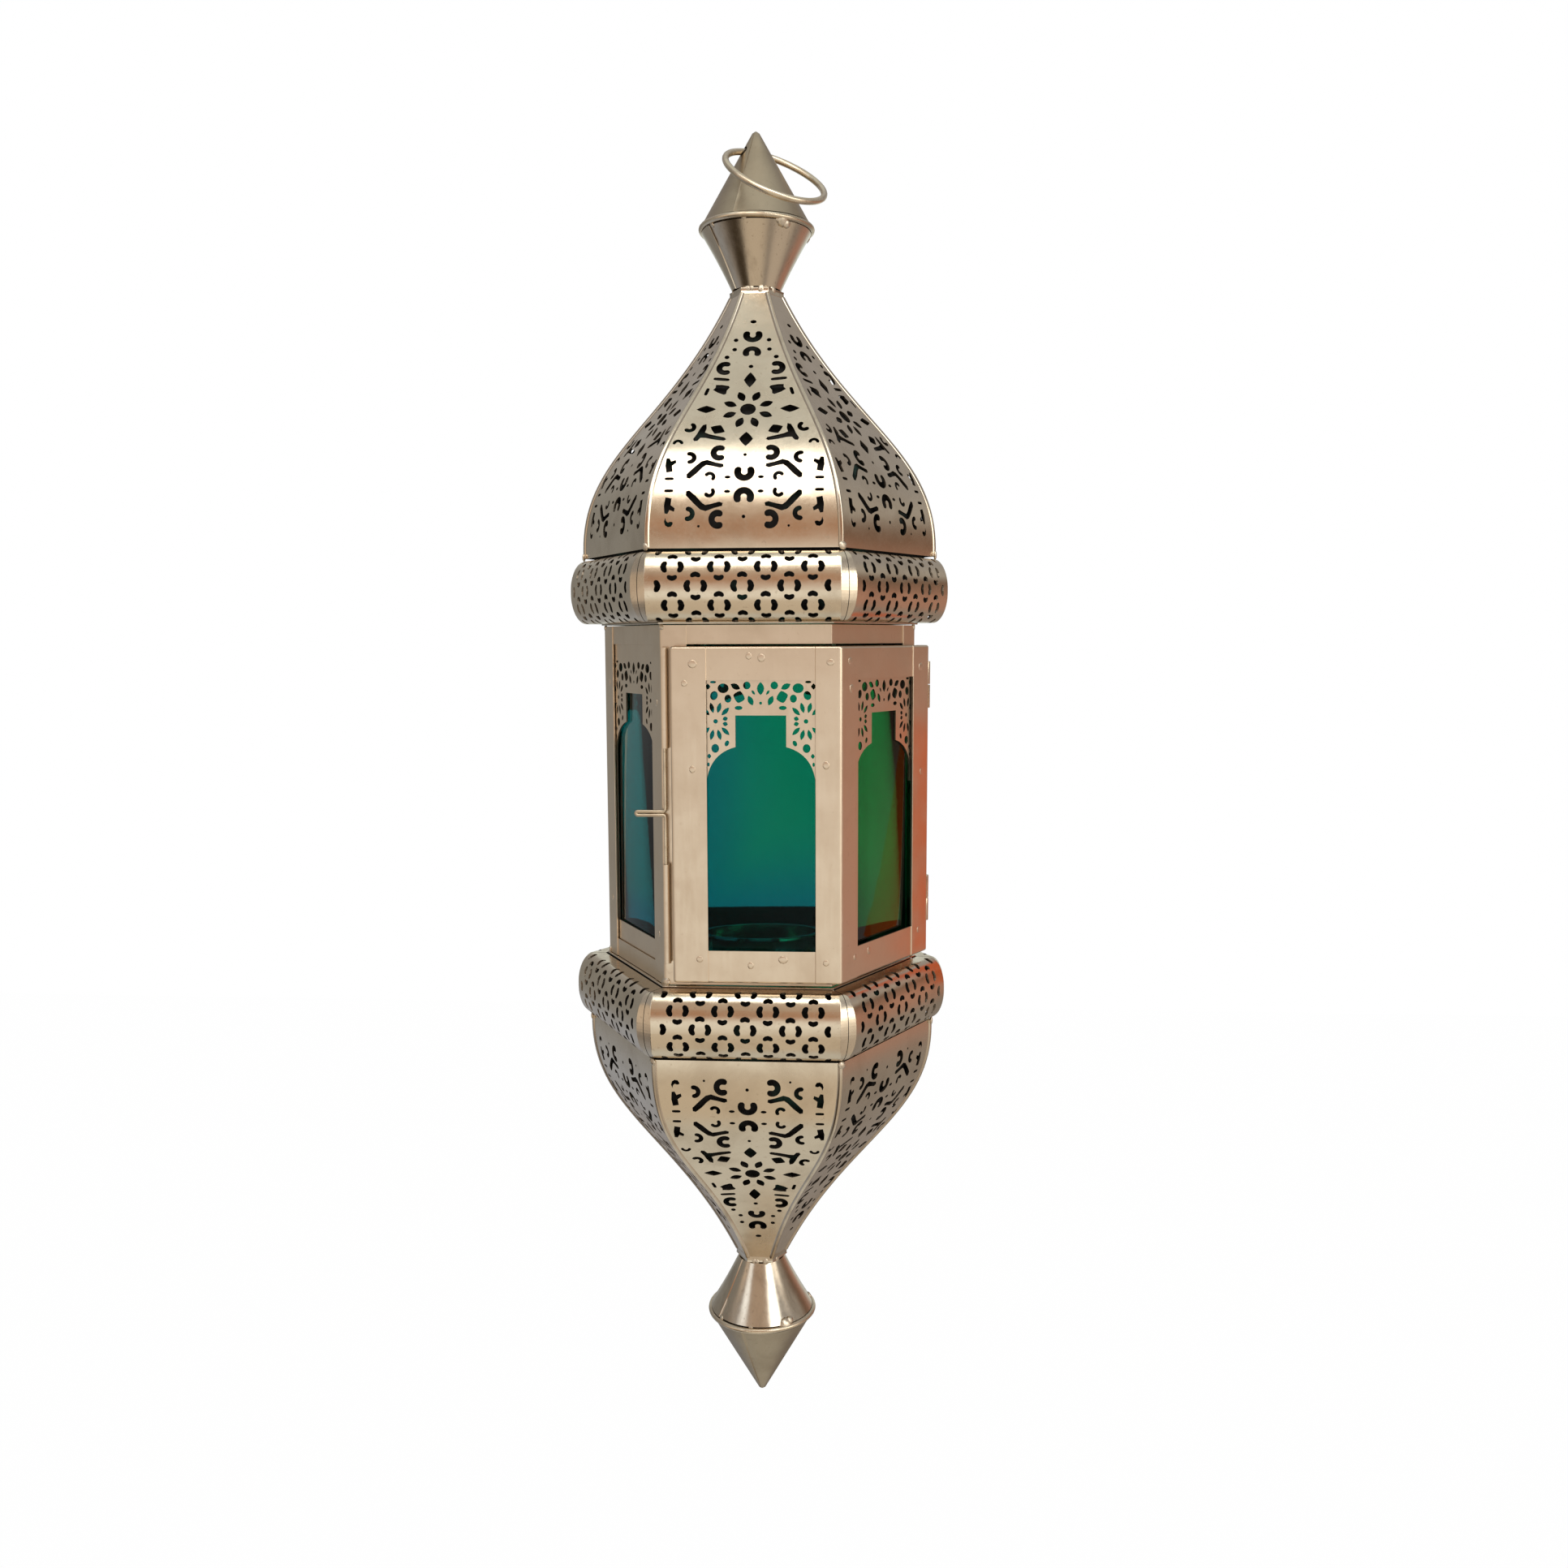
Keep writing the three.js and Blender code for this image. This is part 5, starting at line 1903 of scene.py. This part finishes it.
@dataclass
class Door(SubAssembly):
    """One sheet bent round the front right corner, with fretwork and a pane on each face."""

    apothem: float = 59.7
    back: float = 54.3
    top: float = 58.4
    bottom: float = -63.8
    left: float = -26.8
    right: float = 31.8
    rail: float = 12.0
    sheet: float = 0.7
    front_window: Point = (-13.9, 25.1)
    right_window: Point = (-22.6, 19.0)
    bend: float = 1.3
    raised: float = 0.3  # how proud the upright strips stand of the rails
    edge_roll: float = 0.9  # radius of the rolled head and foot

    def __post_init__(self) -> None:
        """Measures the sheet along its plan, starting from the bend at the corner."""
        self.corner = self.apothem * TAN30
        self.fold = self.apothem - self.back

    def plan(self) -> list[Vector]:
        """Lists the plan's turning points, from the left return to the right one."""
        front, right = Side.FRONT, Side.RIGHT
        return [front.at(self.left, self.back, 0), front.at(self.left, self.apothem, 0),
            front.at(self.corner, self.apothem, 0), right.at(self.right, self.apothem, 0),
            right.at(self.right, self.back, 0)]

    def centre_line(self) -> tuple[np.ndarray, np.ndarray]:
        """Draws the plan with its bends rounded.

        Returns:
            Lengths along the plan from the corner, and the points there in millimetres.
        """
        turns = [np.array((p.x, p.y)) / MM for p in self.plan()]
        points = [turns[0]]
        for before, at, after in zip(turns, turns[1:], turns[2:]):
            a = (before - at) / np.linalg.norm(before - at)
            b = (after - at) / np.linalg.norm(after - at)
            for i in range(9):
                points.append(bowed(at + a * self.bend, at, at + b * self.bend, i / 8))
        points.append(turns[-1])
        line = np.array(points)
        steps = np.linalg.norm(np.diff(line, axis=0), axis=1)
        run = np.concatenate([[0.0], np.cumsum(steps)])
        middle = run[len(run) // 2]
        return run - middle, line

    def on_sheet(self, side: Side, along: float, shift: float) -> float:
        """Turns a distance along a face into one along the unbent sheet."""
        if side is Side.FRONT:
            return along - self.corner + shift
        return along + self.corner - shift

    def skin(self) -> None:
        """Bends the door's skin, with its windows cut and its upright strips raised."""
        run, line = self.centre_line()
        slack = self.corner - self.left + self.fold + run[0]  # lost in the rounded bends
        shift = slack / 3
        way = np.gradient(line, run, axis=0)
        way /= np.linalg.norm(way, axis=1)[:, None]
        start, stop = float(run[0]), float(run[-1])
        sill, head = self.bottom + self.rail, self.top - self.rail
        windows = []
        for side, window in ((Side.FRONT, self.front_window), (Side.RIGHT, self.right_window)):
            a, b = (self.on_sheet(side, w, shift) for w in window)
            windows.append([(a, sill), (b, sill), (b, head), (a, head)])
        roll, spare = self.edge_roll, (math.pi / 2 - 1) * self.edge_roll
        foot, crest = self.bottom - spare, self.top + spare
        outline = [(start, foot), (stop, foot), (stop, crest), (start, crest)]
        flat = flat_sheet("door_flat", [outline, *windows], [], self.bench.shop.pierce)
        edges = [w[0][0] for w in windows] + [w[1][0] for w in windows]
        scores = [e + d for e in edges for d in (-0.14, 0.14, 0.02, -0.02)]
        bends = [float(r) for r in run[1:-1]]
        turns = [math.pi / 2 * roll * i / 6 for i in range(1, 7)]
        levels = [crest - t for t in turns] + [foot + t for t in turns]
        scored(flat, levels, scores + bends)
        centre, half = (self.top + self.bottom) / 2, (self.top - self.bottom) / 2
        strips = [(start - 1, windows[0][0][0]), (windows[0][1][0], windows[1][0][0]),
            (windows[1][1][0], stop + 1)]

        def lay(x: np.ndarray, y: np.ndarray, depth: float) -> np.ndarray:
            """Puts flat points on the door, the upright strips proud of the rails."""
            px, py = np.interp(x, run, line[:, 0]), np.interp(x, run, line[:, 1])
            wx, wy = np.interp(x, run, way[:, 0]), np.interp(x, run, way[:, 1])
            proud = np.zeros_like(x)
            for a, b in strips:
                rise = np.clip((x - a) / 0.12 + 0.5, 0, 1) * np.clip((b - x) / 0.12 + 0.5, 0, 1)
                proud = np.maximum(proud, rise)
            over = np.clip(np.abs(y - centre) - (half - roll), 0, None) / roll
            lift = (proud - 1) * self.raised - depth * np.cos(over)
            lift = lift - roll * (1 - np.cos(over))
            tall = np.minimum(np.abs(y - centre), half - roll) + (roll - depth) * np.sin(over)
            height = MIDDLE + (centre + np.sign(y - centre) * tall) * MM
            return np.stack([(px + wy * lift) * MM, (py - wx * lift) * MM, height], axis=-1)

        obj = folded("door_skin", flat, lay, self.sheet, inside_painted_shade=0.3)
        bpy.data.meshes.remove(flat)
        inset = 0.25
        levels = (self.bottom + inset, self.top - self.sheet - inset)
        ends = [self.lip(z, z + self.sheet) for z in levels]
        frame_piece = joined("door_frame_sheet", [obj, *ends])
        dress(frame_piece, self.bench.finish.door, Slot.FRAME, "door_frame", part=Part.DOOR)

    def lip(self, bottom: float, top: float) -> Obj:
        """Makes the edge folded back at the door's head or foot.

        Args:
            bottom: height of its underside.
            top: height of its upper side.

        Returns:
            The folded edge.
        """
        front, right = Side.FRONT, Side.RIGHT
        inner, outer = self.back + 0.1, self.apothem - 0.9
        gap = self.sheet + 0.05
        outline = [front.at(self.left + gap, outer, 0), front.at(outer * TAN30, outer, 0),
            right.at(self.right - gap, outer, 0), right.at(self.right - gap, inner, 0),
            front.at(inner * TAN30, inner, 0), front.at(self.left + gap, inner, 0)]
        return upright("door_lip", outline, bottom, top, 0.1)

    def welds(self) -> None:
        """Marks the spot welds that hold the strips."""
        marks = [(Side.FRONT, along, height) for along, height in ((-18.6, 52.2), (-21.6, 45.3),
            (-19.0, 14.5), (29.0, 16.1), (30.5, 52.7), (1.5, 55.0), (6.0, 54.3), (-17.0, -54.9),
            (1.6, -57.1), (13.4, -54.8), (29.0, -55.8))]
        marks += [(Side.RIGHT, along, height) for along, height in ((-28.5, 53.0), (-27.4, 43.2),
            (-24.6, -55.4), (-14.0, -55.0), (24.6, 50.0), (25.8, 9.0), (24.4, -54.0))]
        spots = []
        for index, (side, along, height) in enumerate(marks):
            on_strip = not (-13.9 < along < 25.1 if side is Side.FRONT else -22.6 < along < 19)
            apothem = self.apothem - (0 if on_strip else self.raised)
            size = (1.5, 1.2, 1.35)[index % 3]
            spots.append((side.at(along, apothem, height), side.out, size))
        obj = self.bench.lumps("door_weld_spots", spots, 0.1, 0.2, self.bench.finish.door)
        dress(obj, self.bench.finish.door, Slot.FRAME, part=Part.DOOR)

    def build(self) -> None:
        """Makes the skin, the fretwork, the panes and the weld marks."""
        self.skin()
        self.welds()
        top = self.top - self.sheet - 0.3
        for side, window, glass, slot in ((Side.FRONT, self.front_window, self.bench.finish.blue,
                Slot.BLUE), (Side.RIGHT, self.right_window, self.bench.finish.green, Slot.GREEN)):
            apothem = self.apothem - self.sheet - 0.3 - self.raised
            edge = (apothem - 0.6) * TAN30 - 0.8
            if side is Side.FRONT:
                left, right = self.left + 1.5, edge
            else:
                left, right = -edge, self.right - 1.5
            head = self.top - self.rail
            fret = Fretwork(self.bench, side, left, right, head - 40.6, top, window, head,
                self.bottom, apothem)
            node = "door_fret_" + side.label
            fret.build(node + "_pierced", Part.DOOR, node)
            pane = copied("door_glass_" + side.label, "door_pane_" + side.label, 0.3)
            dress(pane, glass, slot, "door_glass_" + side.label, part=Part.DOOR)


@dataclass
class Hinge(SubAssembly):
    """Two pairs of leaves round one long pin."""

    pin_radius: float = 0.7

    def build(self) -> None:
        """Makes the leaves and the pin."""
        for place in ("upper", "lower"):
            for owner, part in (("body", Part.LANTERN), ("door", Part.DOOR)):
                node = f"hinge_leaf_{owner}_{place}"
                leaf_piece = copied(node, node + "_rolled", 0.12)
                dress(leaf_piece, self.bench.finish.wire, Slot.PIERCED, node, part=part)
        low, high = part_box("hinge_pin")
        x, y = (low.x + high.x) / 2, (low.y + high.y) / 2
        path = [Vector((x, y, low.z + (high.z - low.z) * i / 12)) for i in range(13)]
        pin = self.bench.wire("hinge_pin_wire", path, self.pin_radius, False)
        dress(pin, self.bench.finish.wire, Slot.WIRE, "hinge_pin")


@dataclass
class Latch(SubAssembly):
    """A long wire with a hairpin pull, which turns in two rolled sleeves."""

    along: float = -29.5
    out: float = 55.5
    radius: float = 0.65
    sleeve: float = 1.5
    bore: float = 1.05
    pull: float = 11.5
    pull_height: float = -2.0
    spread: float = 1.35
    bare: Point = (-20.7, 21.7)
    ends: Point = (-57.4, 58.0)

    def wire(self) -> None:
        """Bends the wire with its hairpin."""
        half = self.spread / 2
        low, high = self.ends[0] + 0.3, self.ends[1] - 0.3
        tip = self.pull - self.radius - half
        middle = self.pull_height
        line: list[Point] = [(0, low + (middle - half - 1 - low) * i / 8) for i in range(9)]
        line += [(-1 + c, middle - half - 1 + s) for c, s in arc_points(1, 15, 90, 4)]
        line += [(-tip * s, middle - half) for s in (0.35, 0.6, 0.85)]
        line += [(-tip + half * c, middle + half * s) for c, s in arc_points(1, -90, -270, 8)]
        line += [(-tip * s, middle + half) for s in (0.85, 0.6, 0.35)]
        line += [(-1 + c, middle + half + 1 + s) for c, s in arc_points(1, -90, -15, 4)]
        line += [(0, middle + half + 1 + (high - middle - half - 1) * i / 8) for i in range(9)]
        path = [Vector(((self.along + x) * MM, -self.out * MM, MIDDLE + z * MM)) for x, z in line]
        obj = self.bench.wire("latch_wire_bent", path, self.radius, False)
        dress(obj, self.bench.finish.wire, Slot.WIRE, "latch_wire", part=Part.LATCH)

    def sleeve_piece(self, place: str, bottom: float, top: float) -> None:
        """Rolls one sleeve, open along a slit at the back.

        Args:
            place: upper or lower.
            bottom: height of its lower end.
            top: height of its upper end.
        """
        outer = arc_points(self.sleeve, -170, 150, 26)
        inner = arc_points(self.bore, 150, -170, 22)
        outline = [Vector(((self.along + x) * MM, (y - self.out) * MM, 0)) for x,
            y in outer + inner]
        obj = upright(f"latch_sleeve_{place}_rolled", outline, bottom, top, 0.08)
        node = "latch_sleeve_" + place
        dress(obj, self.bench.finish.door, Slot.PIERCED, node)

    def build(self) -> None:
        """Makes the wire and its sleeves."""
        self.wire()
        self.sleeve_piece("upper", self.bare[1], self.ends[1])
        self.sleeve_piece("lower", self.ends[0], self.bare[0])


# ---- studio


@dataclass
class Studio(SubAssembly):
    """Camera, lights, surroundings and floor."""

    lens: float = 30.92
    distance: float = 0.53906
    azimuth: float = 0.084843
    camera_height: float = 0.06096  # above the body's middle
    pitch: float = 0.107355
    roll: float = -0.00321
    pan: float = -0.018476
    floor_drop: float = 0.25  # below the lowest tip
    floor_reach: float = 1.5
    panel_size: float = 0.2
    panel_power: float = 0.36
    panel_tint: Colour = (1.0, 0.99, 0.98)

    def camera(self) -> None:
        """Places the camera in front of the lantern."""
        data = bpy.data.cameras.new("Camera")
        data.lens = self.lens
        data.sensor_width = 36.0
        data.clip_start = 0.01
        obj = bpy.data.objects.new("Camera", data)
        bpy.context.scene.collection.objects.link(obj)
        sin_a, cos_a = math.sin(self.azimuth), math.cos(self.azimuth)
        place = Vector((self.distance * sin_a, -self.distance * cos_a, 0))
        place.z = MIDDLE + self.camera_height
        turn = self.azimuth + self.pan
        ahead = Vector((-math.sin(turn), math.cos(turn), 0)) * math.cos(self.pitch)
        ahead.z = -math.sin(self.pitch)
        right = ahead.cross(Vector((0, 0, 1))).normalized()
        up = right.cross(ahead)
        across = right * math.cos(self.roll) + up * math.sin(self.roll)
        above = up * math.cos(self.roll) - right * math.sin(self.roll)
        axes = Matrix((across, above, -ahead)).transposed()
        obj.matrix_world = Matrix.Translation(place) @ axes.to_4x4()
        bpy.context.scene.camera = obj

    def overhead(self) -> None:
        """Hangs a soft panel of light over the front of the lantern's shoulder."""
        shoulder = Vector((0, -0.055, MIDDLE + 0.123))
        place = shoulder + Vector((-0.012, -0.190, 0.232))
        data = bpy.data.lights.new("Overhead panel", "AREA")
        data.shape = "RECTANGLE"
        data.size = data.size_y = self.panel_size
        data.energy, data.color = self.panel_power, self.panel_tint
        obj = bpy.data.objects.new("Overhead panel", data)
        bpy.context.scene.collection.objects.link(obj)
        turn = (shoulder - place).to_track_quat("-Z", "Y").to_matrix().to_4x4()
        obj.matrix_world = Matrix.Translation(place) @ turn
        obj.visible_camera = False

    def surroundings(self) -> None:
        """Paints the room that the metal reflects, and plain white behind the lantern."""
        world = bpy.data.worlds.new("Room")
        bpy.context.scene.world = world
        world.use_nodes = True
        world.node_tree.nodes.clear()
        wiring = Wiring(world.node_tree)
        way = wiring.node("TexCoord").outputs["Generated"]
        level = wiring.node("SeparateXYZ", {0: way}).outputs[2]
        flat = wiring.node("VectorMath", {0: way, 1: (1, 1, 0)}, operation="MULTIPLY")
        heading = wiring.node("VectorMath", {0: flat}, operation="NORMALIZE")

        def toward(degrees: float, spread: float) -> Any:
            """Measures how near a direction is to one on the horizon."""
            dot = wiring.node("VectorMath", {0: heading, 1: bearing(degrees)},
                operation="DOT_PRODUCT")
            return wiring.span(dot.outputs["Value"], math.cos(math.radians(spread)), 1.0)

        rising = wiring.span(level, -0.10, 0.14)
        colour = wiring.mix(rising, (0.42, 0.40, 0.38), (0.30, 0.28, 0.26))
        front = wiring.mix(rising, (1.0, 1.0, 0.97), (0.46, 0.26, 0.165))
        right = wiring.mix(rising, (0.47, 0.26, 0.20), (0.18, 0.11, 0.075))
        right = wiring.mix(wiring.span(level, 0.12, 0.26), right, (0.44, 0.42, 0.40))
        beside = wiring.mix(rising, (1.1, 1.02, 0.93), (3.2, 3.1, 2.9))
        for degrees, spread, tint in ((270, 60, front), (95, 55, (0.80, 0.86, 0.82)),
                (148, 50, (0.27, 0.27, 0.265)), (25, 50, right), (328, 24, beside),
                (213, 22, (0.8, 0.66, 0.54))):
            colour = wiring.mix(toward(degrees, spread), colour, tint)
        middle = wiring.mix(toward(270, 60), (0.36, 0.35, 0.355), (0.53, 0.42, 0.34))
        middle = wiring.mix(toward(308, 18), middle, (3.6, 3.8, 4.0))
        middle = wiring.mix(toward(226, 13), middle, (1.4, 1.5, 1.65))
        colour = wiring.mix(wiring.span(level, 0.26, 0.42), colour, middle)
        colour = wiring.mix(wiring.span(level, 0.7, 0.86), colour, (0.64, 0.67, 0.66))
        under = wiring.mix(toward(270, 50), (0.30, 0.27, 0.25), (0.66, 0.58, 0.48))
        under = wiring.mix(toward(345, 35), under, (0.60, 0.53, 0.46))
        under = wiring.mix(toward(150, 50), under, (0.37, 0.40, 0.46))
        under = wiring.mix(toward(218, 26), under, (0.06, 0.045, 0.03))
        colour = wiring.mix(wiring.span(level, -0.2, -0.42), colour, under)
        colour = wiring.mix(wiring.span(level, -0.8, -0.95), colour, (0.66, 0.66, 0.63))
        seen = wiring.node("Background", {"Color": colour, "Strength": 1.0})
        white = wiring.node("Background", {"Color": (1, 1, 1, 1), "Strength": 1.0})
        path = wiring.node("LightPath")
        both = wiring.node("MixShader", {0: path.outputs["Is Camera Ray"], 1: seen, 2: white})
        wiring.node("OutputWorld", {0: both})

    def floor(self) -> None:
        """Lays the floor."""
        low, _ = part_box("finial_bottom_cone")
        reach = self.floor_reach
        z = low.z - self.floor_drop
        corners = [(-reach, -reach, z), (reach, -reach, z), (reach, reach, z), (-reach, reach, z)]
        floor = new_object("floor", mesh_of("floor", corners, [(0, 1, 2, 3)]))
        floor.data.materials.append(FloorPaint().build())
        floor.visible_glossy = False

    def warm_card(self) -> None:
        """Stands a small terracotta card where only the door's right edge reflects it."""
        way = bearing(33)
        centre = Side.RIGHT.at(32.4, 59.7, -30.0) + way * 0.06
        side = Vector((-way.y, way.x, 0)) * 0.011
        up = Vector((0, 0, 0.056))
        corners = [centre - side - up, centre + side - up, centre + side + up, centre - side + up]
        card = new_object("warm_card", mesh_of("warm_card", corners, [(0, 1, 2, 3)]))
        material, wiring = blank_material("Terracotta card")
        glow = wiring.node("Emission", {"Color": (0.60, 0.10, 0.015, 1.0)})
        wiring.node("OutputMaterial", {0: glow})
        card.data.materials.append(material)
        for kind in ("camera", "diffuse", "transmission", "shadow"):
            setattr(card, "visible_" + kind, False)

    def dark_screen(self, end: End) -> None:
        """Stands a dark screen inside the dome or bowl: painted shade seen through the holes.

        Args:
            end: the half that it stands in.
        """
        line = [(0.1, 68.6), (54.5, 68.6), (60.5, 73.5), (61.4, 79.4), (60.5, 86.0), (56.5, 91.3)]
        profile = Dome(self.bench, end).profile
        for run in np.linspace(2.0, 100.0, 18):
            out, height = profile.at(np.array([run]), 3.2)
            line.append((float(out[0]), float(height[0])))
        line.append((0.1, line[-1][1]))
        screen = ringed("dark_screen_" + end.name.lower(), line, end=end)
        material, wiring = blank_material("Unlit room")
        place = wiring.node("TexCoord").outputs["Object"]
        # Painted shade: near black, mottled with dark green.
        murk = wiring.noise(place, 60.0)
        share = wiring.span(murk, 0.55, 0.75)
        tint = wiring.mix(share, (0.012, 0.010, 0.008), (0.02, 0.07, 0.05))
        paint = wiring.node("BsdfPrincipled", {"Base Color": tint, "Roughness": 0.9})
        wiring.node("OutputMaterial", {0: paint})
        screen.data.materials.append(material)

    def build(self) -> None:
        """Sets the whole scene."""
        self.camera()
        self.surroundings()
        self.floor()
        self.overhead()
        self.warm_card()
        for end in End:
            self.dark_screen(end)
        bpy.context.scene.view_settings.view_transform = "Standard"


# ---- all together


def main() -> None:
    """Builds the studio and every sub-assembly, in order."""
    logging.basicConfig(level=logging.INFO, format="%(name)s: %(message)s")
    shop = Shop()
    bench = Bench(shop, Finishes(shop))
    Studio(bench).build()
    for end in End:
        for band in (Moulding, Dome, Finial):
            band(bench, end).build()
    for piece in (HangingRing, Cage, CandleDecks, Door, Hinge, Latch):
        LOG.info("building the %s", piece.__name__)
        piece(bench).build()


if __name__ == "__main__":
    main()
